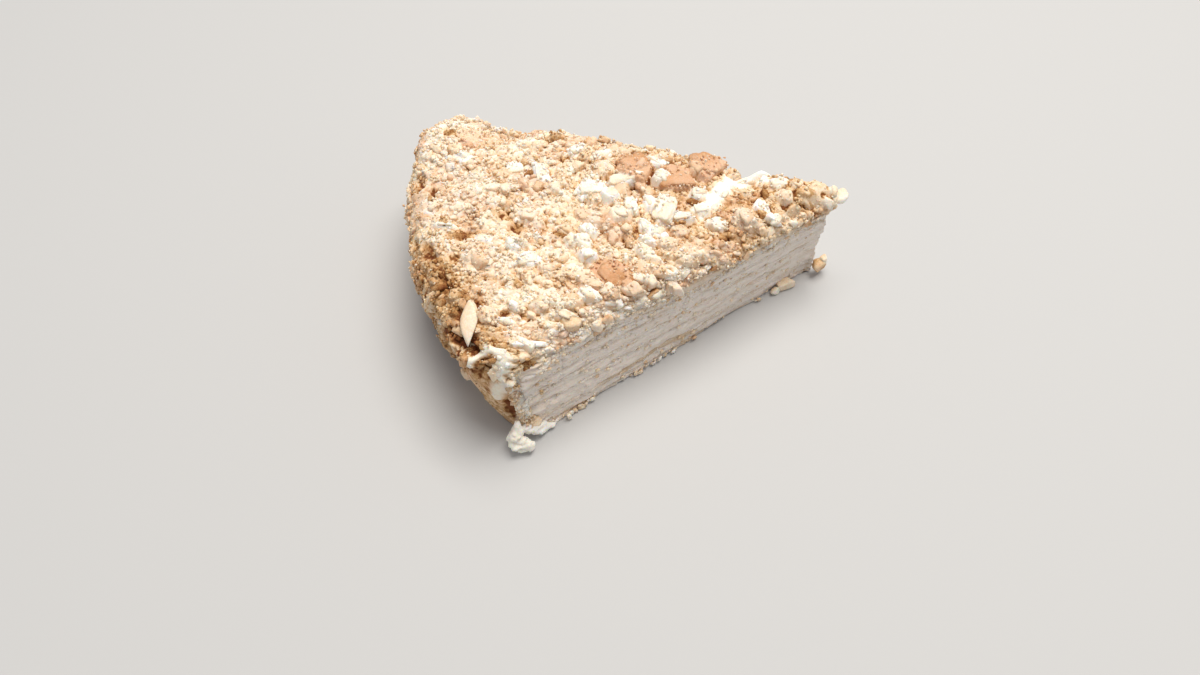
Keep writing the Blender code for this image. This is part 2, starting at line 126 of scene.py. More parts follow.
def mottled(x: Array, y: Array, *patterns: Pattern) -> Array:
    """Sums layers of noise at places given in millimetres."""
    return sum(p.strength * waves(x / p.long, y / p.wide, p.seed) for p in patterns)


def blurred(values: Array, reach: int) -> Array:
    """Averages every cell of a sheet with its neighbours over a square window."""
    for axis, count in enumerate(values.shape):
        ends = [(reach, reach) if k == axis else (0, 0) for k in range(2)]
        total = np.cumsum(np.pad(values, ends, mode="edge"), axis=axis)
        cells = np.arange(count)
        width = 2 * reach
        values = (np.take(total, cells + width, axis) - np.take(total, cells, axis)) / width
    return values


def unit(ways: Array) -> Array:
    """Gives ways of length one."""
    return ways / np.linalg.norm(ways, axis=1, keepdims=True)


def held(points: Array) -> Array:
    """Keeps points on or over the ground, and eases the highest ones down to the slice's own height."""
    z = np.maximum(points[..., 2], 0.0)
    over = np.maximum(0.0, z - EASED_FROM)
    z = z - over + EASED_OVER * np.tanh(over / EASED_OVER)
    return np.concatenate((points[..., :2], z[..., None]), axis=-1)


class Side(Enum):
    """The two cut faces."""

    FRONT = 1
    BACK = -1


class Face(Enum):
    """Where a named crumb lies, and so what its two place numbers mean."""

    TOP = "distance from the tip, degrees"
    RIM = "height, degrees"
    CUT = "distance from the tip, height"


@dataclass(frozen=True)
class Swell:
    """A rise or dip of the top, at a distance and an angle (degrees) from the tip."""

    reach: float
    degrees: float
    rise: float
    spread: float


@dataclass(frozen=True)
class SliceForm:
    """The smooth outer form of the slice, the same that the solids were made from."""

    cake_radius: float = 126.6
    axis_offset: float = 9.5
    half_angle: float = math.radians(24.75)
    tip_x: float = 63.2
    tip_y: float = 0.8
    corner_drop: float = 7.0
    corner_spread: float = math.radians(7.0)
    top: float = 36.6
    shoulder: float = 9.0
    skirt: float = 4.6
    undercut: float = 2.5
    corner_undercut: float = 7.0
    full_from: float = math.radians(18.0)
    corner_fullness: float = 0.53
    start: float = 2.6
    ceiling: float = 29.8
    worn_depth: float = 2.6
    worn_width: float = 5.0
    lean_at_tip: float = -2.4
    lean_at_rim: float = 2.2
    lean_from: float = 10.0
    lean_to: float = 100.0
    lean_height: float = 31.0
    swells: tuple[Swell, ...] = (
        Swell(121, -18.5, 2.6, 8),
        Swell(104, -24.0, -5.6, 11),
        Swell(58, -17.0, 1.6, 12),
        Swell(30, -21.0, -4.6, 5.5),
        Swell(37, -8.0, -1.2, 5),
        Swell(14, -8.0, 1.6, 7),
        Swell(85, 8.0, 0.8, 16),
        Swell(112, 20.0, -1.6, 9),
    )
    cream_reach: tuple[float, ...] = (0, 22, 37, 51, 65, 79, 92, 98, 103, 110)
    cream_height: tuple[float, ...] = (29, 28.2, 27.6, 26, 28.6, 29, 31.5, 31, 28.8, 28.5)
    cream_wander: Pattern = Pattern(0.9, 4.5, 1.0, 71)

    @property
    def bend(self) -> float:
        """Length of the skin round the shoulder."""
        return self.shoulder * math.pi / 2

    @property
    def length(self) -> float:
        """Length of the skin from the tip over the shoulder to the foot."""
        return self.cake_radius - 2 * self.shoulder + self.bend + self.top

    def plan(self, reach: Array, angle: Array, z: Array) -> Array:
        """Gives points at a distance and an angle from the tip, and at a height."""
        parts = (self.tip_x - reach * np.cos(angle), self.tip_y - reach * np.sin(angle), z)
        return np.stack(np.broadcast_arrays(*parts), axis=-1).astype(float)

    def polar(self, points: Array) -> tuple[Array, Array]:
        """Gives the distances and angles of points from the tip."""
        away_x, away_y = self.tip_x - points[..., 0], self.tip_y - points[..., 1]
        return np.hypot(away_x, away_y), np.arctan2(away_y, away_x)

    def across(self, side: Side) -> Array:
        """Gives the way straight out of a cut face."""
        return np.array([math.sin(self.half_angle), -side.value * math.cos(self.half_angle), 0.0])

    def outer_radius(self, angle: Array) -> Array:
        """Gives the distance from the tip to the outside of the coat."""
        along = -self.axis_offset * np.sin(angle)
        sideways = self.axis_offset * np.cos(angle)
        near = np.maximum(0.0, np.abs(angle) - self.half_angle + self.corner_spread)
        drop = self.corner_drop * (near / self.corner_spread) ** 2
        return along + np.sqrt(self.cake_radius**2 - sideways**2) - drop

    def wall_radius(self, angle: Array, z: Array) -> Array:
        """Gives the distance from the tip to the rim, which leans in at its foot."""
        near_front = np.clip(angle, 0.0, self.full_from) / self.half_angle
        past = np.maximum(0.0, angle - self.full_from) / (self.half_angle - self.full_from)
        amount = self.undercut + self.corner_undercut * (near_front - self.corner_fullness * past)
        below = np.maximum(0.0, 1.0 - z / (self.top - self.shoulder))
        return self.outer_radius(angle) - amount * below**1.5

    def core_radius(self, angle: Array, z: Array) -> Array:
        """Gives the distance from the tip to the inside of the coat on the rim."""
        return self.wall_radius(angle, z) - self.skirt

    def top_height(self, reach: Array, angle: Array) -> Array:
        """Gives the height of the top with its rises, dips and worn edge."""
        here = self.plan(reach, angle, 0.0)
        from_cut = reach * np.sin(np.maximum(0.0, self.half_angle - angle))
        height = self.top - self.worn_depth * np.maximum(0.0, 1.0 - from_cut / self.worn_width) ** 2
        for swell in self.swells:
            middle = self.plan(swell.reach, math.radians(swell.degrees), 0.0)
            away = np.linalg.norm(here - middle, axis=-1) / swell.spread
            height = height + swell.rise * np.exp(-away * away)
        return height

    def spans(self, angle: Array) -> tuple[Array, Array]:
        """Gives the lengths of the skin's flat part and of its wall at an angle."""
        flat = self.outer_radius(angle) - self.shoulder
        return flat, self.top_height(flat, angle) - self.shoulder

    def skin(self, along: Array, angle: Array) -> Array:
        """Gives points of the smooth skin at places on the unrolled sheet."""
        along, angle = np.broadcast_arrays(np.asarray(along, float), np.asarray(angle, float))
        flat, wall = self.spans(angle)
        way = along * (flat + self.bend + wall) / self.length
        turn = np.clip((way - flat) / self.shoulder, 0.0, math.pi / 2)
        low = np.maximum(0.0, flat + self.bend + wall - way)
        on_top = self.plan(way, angle, self.top_height(way, angle))
        rounded = self.shoulder * np.sin(turn), self.shoulder * np.cos(turn)
        on_bend = self.plan(flat + rounded[0], angle, wall + rounded[1])
        on_wall = self.plan(self.wall_radius(angle, low), angle, low)
        chosen = np.where((way < flat)[..., None], on_top, on_bend)
        return np.where((way > flat + self.bend)[..., None], on_wall, chosen)

    def outward(self, along: Array, angle: Array) -> Array:
        """Gives the way straight out of the skin."""
        turn = 0.5 / np.maximum(along, 4.0)
        down = self.skin(along + 0.5, angle) - self.skin(along - 0.5, angle)
        sideways = self.skin(along, angle + turn) - self.skin(along, angle - turn)
        out = np.cross(down, sideways)
        return out / np.maximum(np.linalg.norm(out, axis=-1, keepdims=True), 1e-9)

    def lean(self, points: Array) -> Array:
        """Moves points of the upright slice with the lean of the front cut."""
        away, angle = self.polar(points)
        share = np.clip(angle / self.half_angle, 0.0, 1.0) ** 2
        share = np.where(away > self.lean_from / 4, share, 0.0)
        reach = np.clip((away - self.lean_from) / (self.lean_to - self.lean_from), 0.0, 1.0)
        amount = self.lean_at_tip + (self.lean_at_rim - self.lean_at_tip) * reach
        amount = amount * share * np.clip(1.0 - points[..., 2] / self.lean_height, 0.0, 1.0)
        return points + amount[..., None] * self.across(Side.FRONT)

    def cream_line(self, reach: Array) -> Array:
        """Gives the height on a cut where smeared cream ends and crumbs begin."""
        line = np.interp(reach, self.cream_reach, self.cream_height)
        return line + mottled(reach, np.array(0.5), self.cream_wander)


@dataclass(frozen=True)
class CoatMap:
    """Places on the coat: along the skin, and across it past both edges and down the cut faces."""

    form: SliceForm = SliceForm()

    def width(self, along: Array) -> Array:
        """Gives half the width of the unrolled skin."""
        return np.minimum(along, self.form.cake_radius) * self.form.half_angle

    def inner(self, along: Array, side: Array) -> Array:
        """Finds the point of the coat's inside, at a cut face, that faces a point of its outside.

        Args:
            along: distance along the skin.
            side: 1 at the front cut, -1 at the back cut.

        Returns:
            The point.
        """
        form = self.form
        angle = side * form.half_angle
        flat, wall = form.spans(angle)
        whole = flat + form.bend + wall
        middle = (flat + form.bend / 2) / whole * form.length
        first = form.start * whole / form.length
        share = np.clip((along - form.start) / (middle - form.start), 0.0, 1.0)
        reach = first + (form.core_radius(angle, form.ceiling) - first) * share
        low = form.ceiling * (1.0 - np.clip((along - middle) / (form.length - middle), 0.0, 1.0))
        above = form.plan(reach, angle, form.ceiling)
        beside = form.plan(form.core_radius(angle, low), angle, low)
        return np.where((along < middle)[..., None], above, beside)

    def at(self, along: Array, over: Array) -> tuple[Array, Array]:
        """Finds points of the smooth coat and the ways straight out of it.

        Args:
            along: distance along the skin from the tip.
            over: distance across the skin from its middle line, more than the half width where the
                place is on a cut face.

        Returns:
            The points and the unit normals.
        """
        form = self.form
        along, over = np.broadcast_arrays(np.asarray(along, float), np.asarray(over, float))
        side = np.where(over > 0, 1.0, -1.0)
        angle = np.clip(over / np.minimum(along, form.cake_radius), -form.half_angle, form.half_angle)
        point, normal = form.skin(along, angle), form.outward(along, angle)
        depth = np.maximum(0.0, np.abs(over) - self.width(along))
        way = self.inner(along, side) - point
        span = np.maximum(np.linalg.norm(way, axis=-1), 1e-6)
        point = point + way * np.clip(depth / span, 0.0, 1.0)[..., None]
        cut = np.where((side > 0)[..., None], form.across(Side.FRONT), form.across(Side.BACK))
        turned = smooth(depth / 2.2 + 0.15 * (depth > 0))[..., None]
        normal = normal * (1 - turned) + cut * turned
        return point, normal / np.maximum(np.linalg.norm(normal, axis=-1, keepdims=True), 1e-9)

    def find(self, face: Face, first: float, degrees: float) -> tuple[float, float]:
        """Finds the place on the unrolled coat of a spot on the top or on the rim.

        Args:
            face: top or rim.
            first: distance from the tip on the top, height on the rim.
            degrees: angle from the middle line.

        Returns:
            The distances along and across the skin.
        """
        form, angle = self.form, math.radians(degrees)
        flat, wall = (float(x) for x in form.spans(np.array(angle)))
        if face is Face.TOP:
            past = min(max(0.0, first - flat) / form.shoulder, 1.0)
            way = min(first, flat) + form.shoulder * math.asin(past)
        elif first < wall:
            way = flat + form.bend + wall - first
        else:
            way = flat + form.shoulder * math.acos(min(1.0, (first - wall) / form.shoulder))
        along = way * form.length / (flat + form.bend + wall)
        return along, angle * min(along, form.cake_radius)


@dataclass(frozen=True)
class Dent:
    """A mound (positive) or a hollow (negative) in the coat, and its tone: hollows are dark caramel,
    partly deep crust and partly painted shade.
    """

    face: Face
    first: float
    degrees: float
    rise: float
    long: float
    wide: float
    tone: float


def dents(face: Face, *rows: tuple[float, ...]) -> tuple[Dent, ...]:
    """Makes the mounds and hollows of one face from rows of their numbers."""
    return tuple(Dent(face, *row) for row in rows)


# mounds are paler; hollows get dark caramel tones, partly deep crust and partly painted shade
DENTS = (
    *dents(
        Face.TOP,
        (68, 1, 2.2, 5.6, 6.4, 0.34),
        (41.5, -21, 1.6, 4.5, 4.5, 0.36),
        (33, 14.5, 1.3, 4.5, 4.5, 0.3),
        (8, -3, 1.3, 5.5, 5, 0.42),
        (50, 21, 0.9, 5, 4.5, 0.3),
        (57, 19, 0.9, 5, 4, 0.34),
        (120, -14, 0.3, 5, 6, 0.26),
    ),
    *dents(Face.RIM, (29, 18.5, 1.1, 1.3, 5.5, 0.5)),
    *dents(
        Face.TOP,
        (104, 6, 0.8, 7, 6, 0.24),
        (108, -6, 0.8, 6, 6, 0.25),
        (95, 17, 0.7, 6, 6, 0.26),
        (110.9, 19.4, 0.6, 1.6, 5.5, 0.58),
        (115, 19.9, 0.9, 1.8, 2, 0.6),
        (119.6, 18.4, -3.2, 3.4, 6.2, 1.15),
        (118, 14.2, -2.4, 1.8, 2.2, 1.05),
        (122.4, 17.6, -1.6, 2.0, 3.2, 1.1),
    ),
    *dents(Face.RIM, (11, 24.2, -5, 7, 2.8, 1.1)),
    *dents(
        Face.TOP,
        (99, -2, -1.5, 2.2, 3, 0.74),
        (96, 1, -1.1, 4, 2.2, 0.62),
        (92.5, -12, -1.9, 1.7, 1.6, 0.88),
        (118, -19, -1.4, 2.6, 1.8, 0.66),
        (6, 12, -1, 1.3, 1.2, 0.84),
        (11, -14, -1, 1.3, 1.2, 0.8),
        (19, 12, -1.1, 1.5, 1.3, 0.84),
        (28, 2, -1.1, 1.6, 1.6, 0.8),
        (111.5, 14, -1.5, 1.8, 3.2, 0.84),
        (106.5, 17, -1.3, 1.6, 1.4, 0.86),
        (102.5, 19, -1.2, 1.2, 2.6, 0.78),
        (100, 13, -1.1, 1.6, 2, 0.72),
        (69.5, 9.5, -1.9, 3.4, 1.9, 0.82),
        (63.5, 8, -2.1, 1.7, 2, 0.84),
        (61.5, 1.5, -1.5, 1, 3, 0.82),
        (63, 18.5, -1.5, 2.6, 1.4, 0.88),
        (57, 12.5, -1.3, 1.6, 1.2, 0.84),
        (80, 16.5, -1.3, 1, 2, 0.88),
        (45, 18.5, -1.9, 1.5, 1.6, 0.84),
        (40, 20.5, -1.6, 2.4, 1.8, 0.7),
        (14.5, 1, -1.7, 2.2, 1.4, 0.82),
        (24, -6, -1.2, 1.3, 1.6, 0.78),
        (25.5, 22, -1.3, 1.4, 1.6, 0.8),
        (13, 21.5, -1.1, 1.6, 1.2, 0.84),
        (83, -17, -1.3, 1.3, 1.6, 0.8),
        (76, -16, -1.5, 2, 2.2, 0.68),
        (120, -7.5, -1.6, 1.6, 3.6, 0.78),
        (124.5, -9.5, -1.8, 2.4, 3, 0.8),
        (111, 1, -1.5, 4.6, 2, 0.78),
        (61, -8, -1.5, 3.4, 1.3, 0.78),
        (55, -13, -1.5, 1.7, 1.3, 0.82),
        (44.5, -15.5, -1.2, 1.6, 2.2, 0.74),
        (114.5, 5, -1.5, 1.6, 2.4, 0.72),
        (119, 9, -1.9, 2.4, 3.4, 0.9),
        (121.5, 3, -1.3, 2.6, 3.6, 0.76),
    ),
    *dents(
        Face.RIM,
        (28, 10.5, -2, 4, 2.4, 0.85),
        (24, 14, -2.2, 5, 3, 0.92),
        (27, -2, -1.6, 5, 2.6, 0.8),
        (18, 4, -1.7, 5, 2.4, 0.85),
        (22, -10, -1.5, 4, 2.4, 0.76),
        (12, -16, -1.6, 3, 3, 0.74),
    ),
)


@dataclass(frozen=True)
class Run:
    """A raised line of cream or crust on the coat.

    It holds how high it stands, its tone, how far its crumbs are smoothed over, and stops with two
    place numbers and half its width.
    """

    face: Face
    rise: float
    tone: float
    smoothed: float
    path: tuple[tuple[float, float, float], ...]


RUNS = (
    Run(
        Face.TOP, 1.0, 0.48, 0.4,
        (
            (124.2, 15.2, 0.6), (123.0, 16.8, 0.8), (121.8, 18.4, 0.9),
            (120.4, 19.9, 0.9), (119.4, 20.8, 0.7),
        ),
    ),
    # a sunk groove inside the cream arch, darker amber: partly crust, partly painted shade
    Run(
        Face.TOP, -1.6, 0.7, 0.6,
        (
            (120.6, 21.8, 0.8), (119.2, 22.2, 1.3), (118.0, 22.5, 1.6),
            (118.4, 23.2, 1.3), (119.4, 22.9, 0.8),
        ),
    ),
    Run(
        Face.TOP, 1.3, 0.18, 0.9,
        (
            (121.2, 20.6, 0.9), (119.8, 20.6, 1.2), (117.8, 20.7, 1.5),
            (115.7, 21.0, 1.9), (114.0, 21.6, 2.2), (113.0, 22.5, 2.2),
            (113.0, 23.4, 2.0), (114.0, 24.0, 1.7), (115.8, 24.2, 1.2),
        ),
    ),
    Run(
        Face.TOP, 1.1, 0.0, 1.0,
        (
            (31.2, -21.0, 1.4), (32.4, -18.6, 2.2), (34.2, -12.4, 3.1), (36.8, -6.4, 3.3),
            (39.1, -1.7, 3.0), (41.6, 2.9, 2.3), (44.0, 6.4, 1.4),
        ),
    ),
    Run(Face.TOP, 0.7, 0.04, 0.8, ((27.5, -23.5, 1.4), (25.0, -21.0, 1.6), (22.5, -18.5, 1.0))),
    Run(
        Face.RIM, 1.9, 0.2, 0.7,
        (
            (27.6, 25.4, 1.2), (26.2, 24.8, 1.6), (24.0, 24.0, 2.1),
            (21.2, 23.5, 2.2), (18.6, 23.3, 1.6), (17.2, 23.2, 0.9),
        ),
    ),
)


def curve(stops: Array, steps: int = 12) -> Array:
    """Runs a smooth curve through stops."""
    ends = np.pad(stops, ((1, 1), (0, 0)), mode="edge")
    a, b, c, d = (ends[k : k + len(stops) - 1, None] for k in range(4))
    t = np.linspace(0, 1, steps, endpoint=False)[:, None]
    bent = b + 0.5 * t * (c - a + t * (2 * a - 5 * b + 4 * c - d + t * (3 * b - a - 3 * c + d)))
    return np.concatenate((bent.reshape(-1, stops.shape[1]), stops[-1:]))


@dataclass(frozen=True)
class Look:
    """How much more than its surroundings a crumb is baked, how pink it is, and its turn."""

    tone: float
    blush: float
    turn: float


class Relief:
    """Heights and tones of packed crumbs, drawn on the unrolled coat at a fine pitch."""

    pitch: float = 0.16
    margin: float = 9.0
    dent_edge: Pattern = Pattern(0.22, 1.7, 1.7, 81)
    run_edge: tuple[Pattern, ...] = (Pattern(0.2, 1.3, 1.3, 82), Pattern(0.08, 0.5, 0.5, 83))
    sides: int = 6
    side_place: tuple[float, float] = (0.62, 1.0)
    side_fall: tuple[float, float] = (1.4, 3.2)
    slant: float = 0.14

    def __init__(self, coat: CoatMap) -> None:
        """Lays out even sheets as long and as wide as the coat."""
        self.reach = float(coat.width(np.array(coat.form.length))) + self.margin
        rows = int(coat.form.length / self.pitch) + 2
        columns = int(2 * self.reach / self.pitch) + 2
        sheets = np.zeros((6, rows, columns))
        self.height, self.base, self.tone, self.hollow, self.blush, self.lid = sheets
        self.taken = np.zeros((rows, columns), bool)

    def cell(self, along: Array, over: Array) -> tuple[Array, Array]:
        """Finds the row and column of places on the coat."""
        row = np.clip((np.asarray(along) / self.pitch).astype(int), 0, self.height.shape[0] - 1)
        column = ((np.asarray(over) + self.reach) / self.pitch).astype(int)
        return row, np.clip(column, 0, self.height.shape[1] - 1)

    def window(
        self, along: float, over: float, half: float
    ) -> tuple[tuple[slice, slice], Array, Array]:
        """Gives the cells round a place, and how far each lies from it along and across.

        Args:
            along: distance along the skin.
            over: distance across the skin.
            half: half the window's width.

        Returns:
            The window and its column and row of distances.
        """
        row, column = int(along / self.pitch), int((over + self.reach) / self.pitch)
        cells = int(half / self.pitch) + 1
        rows, columns = self.height.shape
        top, left = max(0, row - cells), max(0, column - cells)
        low, right = min(rows, row + cells + 1), min(columns, column + cells + 1)
        y = (np.arange(top, low)[:, None] - row) * self.pitch
        x = (np.arange(left, right)[None, :] - column) * self.pitch
        return (slice(top, low), slice(left, right)), y, x

    def grid(self) -> tuple[Array, Array]:
        """Gives the place on the coat of every cell."""
        rows, columns = self.height.shape
        along = (np.arange(rows)[:, None] + 0.5) * self.pitch
        over = (np.arange(columns)[None, :] + 0.5) * self.pitch - self.reach
        return np.broadcast_arrays(along, over)

    def press(self, dent: Dent, coat: CoatMap) -> None:
        """Presses a mound or a hollow into the sheet."""
        along, over = coat.find(dent.face, dent.first, dent.degrees)
        cells, y, x = self.window(along, over, 1.6 * max(dent.long, dent.wide))
        rough = mottled(y + along, x + over, self.dent_edge)
        share = smooth(1.35 - np.hypot(y / dent.long, x / dent.wide) + rough)
        self.height[cells] += dent.rise * share
        # a hollow's dark tone is partly deep crust and partly painted shade
        self.base[cells] += (dent.tone - self.base[cells]) * share
        if dent.rise < 0:
            self.hollow[cells] = np.maximum(self.hollow[cells], share)

    def draw_run(self, run: Run, coat: CoatMap) -> None:
        """Raises a run over the sheet, with ragged sides, and keeps loose crumbs off it.

        Args:
            run: the run.
            coat: the map that its places are found on.
        """
        share = np.zeros_like(self.height)
        stops = [(*coat.find(run.face, first, degrees), half) for first, degrees, half in run.path]
        for along, over, half in curve(np.array(stops)):
            cells, y, x = self.window(along, over, 2.0 * half)
            rough = mottled(y + along, x + over, *self.run_edge)
            share[cells] = np.maximum(share[cells], smooth(1.3 - np.hypot(y, x) / half + rough))
        level = blurred(blurred(self.height, 7), 5)
        self.height += share * (run.rise + run.smoothed * (level - self.height))
        self.tone += share * (run.tone - self.tone)
        self.base += share * (run.tone - self.base)
        self.blush *= 1 - share
        self.hollow = np.maximum(self.hollow, share)

    def stamp(
        self,
        along: float,
        over: float,
        halves: tuple[float, float],
        level: float,
        look: Look,
        draw: Chance,
    ) -> tuple[tuple[slice, slice], Array]:
        """Presses one broken crumb into the sheet: a tilted top with steep broken sides.

        Args:
            along: place of its middle along the skin.
            over: place of its middle across the skin.
            halves: half its length and half its width.
            level: how far its top stands over the sheet's own level there.
            look: how much more than its surroundings it is baked, its blush, and the turn of its
                length from straight across the skin.
            draw: the source of its chance.

        Returns:
            The cells that it covers, and which of them it stands over.
        """
        cells, y, x = self.window(along, over, 1.35 * max(halves))
        here = self.height[cells]
        middle = (y.shape[0] // 2, x.shape[1] // 2)
        tilt = draw.normal(0.0, self.slant, 2)
        form = float(here[middle]) + level + tilt[0] * x + tilt[1] * y
        cos, sin = math.cos(look.turn), math.sin(look.turn)
        lengthwise, sideways = (x * cos - y * sin) / halves[0], (x * sin + y * cos) / halves[1]
        for k in range(self.sides):
            facing = (k + draw.uniform(-0.4, 0.4)) * math.tau / self.sides
            past = lengthwise * math.cos(facing) + sideways * math.sin(facing)
            past = past - draw.uniform(*self.side_place)
            form = form - draw.uniform(*self.side_fall) * min(halves) * np.maximum(0.0, past)
        higher = form > here
        here[higher] = form[higher]
        self.tone[cells][higher] = float(self.base[cells][middle]) + look.tone
        self.blush[cells][higher] = look.blush
        return cells, higher

    def crevices(self) -> Array:
        """Gives how deep each cell lies between its neighbours, from 0 to 1."""
        below = blurred(blurred(self.height, 5), 4) - self.height
        return np.clip((below - 0.08) / 0.45, 0.0, 1.0)

    def sample(self, values: Array, along: Array, over: Array) -> Array:
        """Gives a sheet's values at places on the coat."""
        y = np.clip(np.asarray(along) / self.pitch - 0.5, 0, values.shape[0] - 1.001)
        x = np.clip((np.asarray(over) + self.reach) / self.pitch - 0.5, 0, values.shape[1] - 1.001)
        row, column = y.astype(int), x.astype(int)
        down, across = y - row, x - column
        upper = values[row, column] * (1 - across) + values[row, column + 1] * across
        lower = values[row + 1, column] * (1 - across) + values[row + 1, column + 1] * across
        return upper * (1 - down) + lower * down


def add_node(tree: NodeTree, kind: str, settings: dict | None = None, **inputs: Any) -> Any:
    """Adds a node with its settings and its links.

    Args:
        tree: the material's node tree.
        kind: the node's Blender type.
        settings: attributes of the node to set.
        **inputs: a value or another node's output for each input, named in lower case with
            underscores, or input_N for the Nth input.

    Returns:
        The new node.
    """
    node = tree.nodes.new(kind)
    for name, value in (settings or {}).items():
        setattr(node, name, value)
    for name, value in inputs.items():
        if name.startswith("input_"):
            socket = node.inputs[int(name[6:])]
        else:
            plain = name.replace("_", " ")
            socket = next(s for s in node.inputs if s.name.lower() == plain and s.enabled)
        if isinstance(value, bpy.types.NodeSocket):
            tree.links.new(value, socket)
        else:
            socket.default_value = value
    return node


def sum_of(tree: NodeTree, value: Any, factor: Any, extra: Any) -> Any:
    """Adds a node for value times factor plus extra, and gives its output."""
    parts = {"input_0": value, "input_1": factor, "input_2": extra}
    return add_node(tree, "ShaderNodeMath", {"operation": "MULTIPLY_ADD"}, **parts).outputs[0]


def mixed(tree: NodeTree, share: Any, first: Any, second: Any, blend: str = "MIX") -> Any:
    """Adds a node that mixes two colours, and gives its output.

    Args:
        tree: the material's node tree.
        share: how much of the second.
        first: an output or a linear colour.
        second: an output or a linear colour.
        blend: the blend type.

    Returns:
        The mixed colour's output.
    """
    node = add_node(tree, "ShaderNodeMix", {"data_type": "RGBA", "blend_type": blend}, input_0=share)
    colours = [s for s in node.inputs if s.type == "RGBA"]
    for socket, value in zip(colours, (first, second)):
        if isinstance(value, bpy.types.NodeSocket):
            tree.links.new(value, socket)
        else:
            socket.default_value = value
    return next(s for s in node.outputs if s.type == "RGBA")


def ramp_of(tree: NodeTree, level: Any, stops: tuple[tuple[float, str], ...]) -> Any:
    """Adds a colour ramp with its stops from places and hex colours, and gives its output."""
    node = add_node(tree, "ShaderNodeValToRGB", fac=level)
    elements = node.color_ramp.elements
    while len(elements) < len(stops):
        elements.new(0.5)
    for element, (place, colour) in zip(elements, stops):
        element.position = place
        element.color = srgb(colour)
    return node.outputs["Color"]


@dataclass(frozen=True, kw_only=True)
class Finish:
    """What the slice's materials share: a matte grained surface that lets a little light through."""

    name: str
    roughness: float
    ior: float = 1.45
    grain_mm: float = 0.5
    grain_detail: float = 3.0
    bump_mm: float = 0.25
    bump_strength: float = 0.7
    bleed: float = 0.15
    bleed_mm: float = 1.2
    bleed_tint: tuple[float, float, float] = (1.0, 0.6, 0.3)

    def start(self) -> tuple[Material, NodeTree, Any]:
        """Makes the material, and gives it with its tree and the place of each point."""
        made = bpy.data.materials.new(self.name)
        made.use_nodes = True
        place = add_node(made.node_tree, "ShaderNodeTexCoord").outputs["Object"]
        return made, made.node_tree, place

    def trait(self, tree: NodeTree, name: str) -> Any:
        """Adds a node for a number that the points carry, and gives its output."""
        return add_node(tree, "ShaderNodeAttribute", {"attribute_name": name}).outputs["Fac"]

    def speckle(self, tree: NodeTree, place: Any, size_mm: float, detail: float) -> Any:
        """Adds even noise of a size in millimetres, and gives its output."""
        scale = 1 / (size_mm * MM)
        texture = add_node(tree, "ShaderNodeTexNoise", vector=place, scale=scale, detail=detail)
        return texture.outputs["Fac"]

    def close(self, tree: NodeTree, colour: Any, height: Any) -> None:
        """Links the colour and the bump, and sets how matte and how clear the surface is.

        Args:
            tree: the material's node tree.
            colour: the output that gives the colour.
            height: the output that gives the bump's height.
        """
        shader = tree.nodes["Principled BSDF"]
        bump = add_node(
            tree, "ShaderNodeBump", height=height, distance=self.bump_mm * MM, strength=self.bump_strength
        )
        tree.links.new(colour, shader.inputs["Base Color"])
        tree.links.new(bump.outputs["Normal"], shader.inputs["Normal"])
        values = {
            "Roughness": self.roughness,
            "IOR": self.ior,
            "Subsurface Weight": self.bleed,
            "Subsurface Radius": self.bleed_tint,
            "Subsurface Scale": self.bleed_mm * MM,
        }
        for name, value in values.items():
            shader.inputs[name].default_value = value


@dataclass(frozen=True, kw_only=True)
class BakedCrumbs(Finish):
    """Broken crumbs of thin baked wheat pastry, crushed by hand.

    The crust sides are matte and toasted, the broken sides are pale and open, and light bleeds a
    little through the thin edges. The tone on their points darkens the hollows between them to caramel:
    painted shade, and in the larger hollows partly the colour of deep crust.
    """

    stain_mm: float = 2.2
    stain_detail: float = 3.0
    stain_share: float = 0.3
    grain_share: float = 0.36
    paler: float = -0.33
    tones: tuple[tuple[float, str], ...] = (
        (0.0, "#FFFCF6"),
        (0.2, "#FDF1DF"),
        (0.4, "#F4DDC1"),
        (0.58, "#E5C49D"),
        (0.74, "#C69C6A"),
        (0.87, "#9E6F3C"),
        (1.0, "#7A4216"),
    )
    blush: str = "#E6CCBC"
    cream: str = "#F3E9DC"

    def material(self) -> Material:
        """Makes the crumbs' material. Each crumb's own tone and blush come with its points.

        Returns:
            The material.
        """
        made, tree, place = self.start()
        tone, blush, cream = (self.trait(tree, name) for name in ("tone", "blush", "cream"))
        stain = self.speckle(tree, place, self.stain_mm, self.stain_detail)
        grain = self.speckle(tree, place, self.grain_mm, self.grain_detail)
        stained = sum_of(tree, stain, self.stain_share, tone)
        baked = sum_of(tree, grain, self.grain_share, stained)
        colour = ramp_of(tree, sum_of(tree, baked, 1.0, self.paler), self.tones)
        colour = mixed(tree, blush, colour, srgb(self.blush), "MULTIPLY")
        self.close(tree, mixed(tree, cream, colour, srgb(self.cream)), grain)
        return made


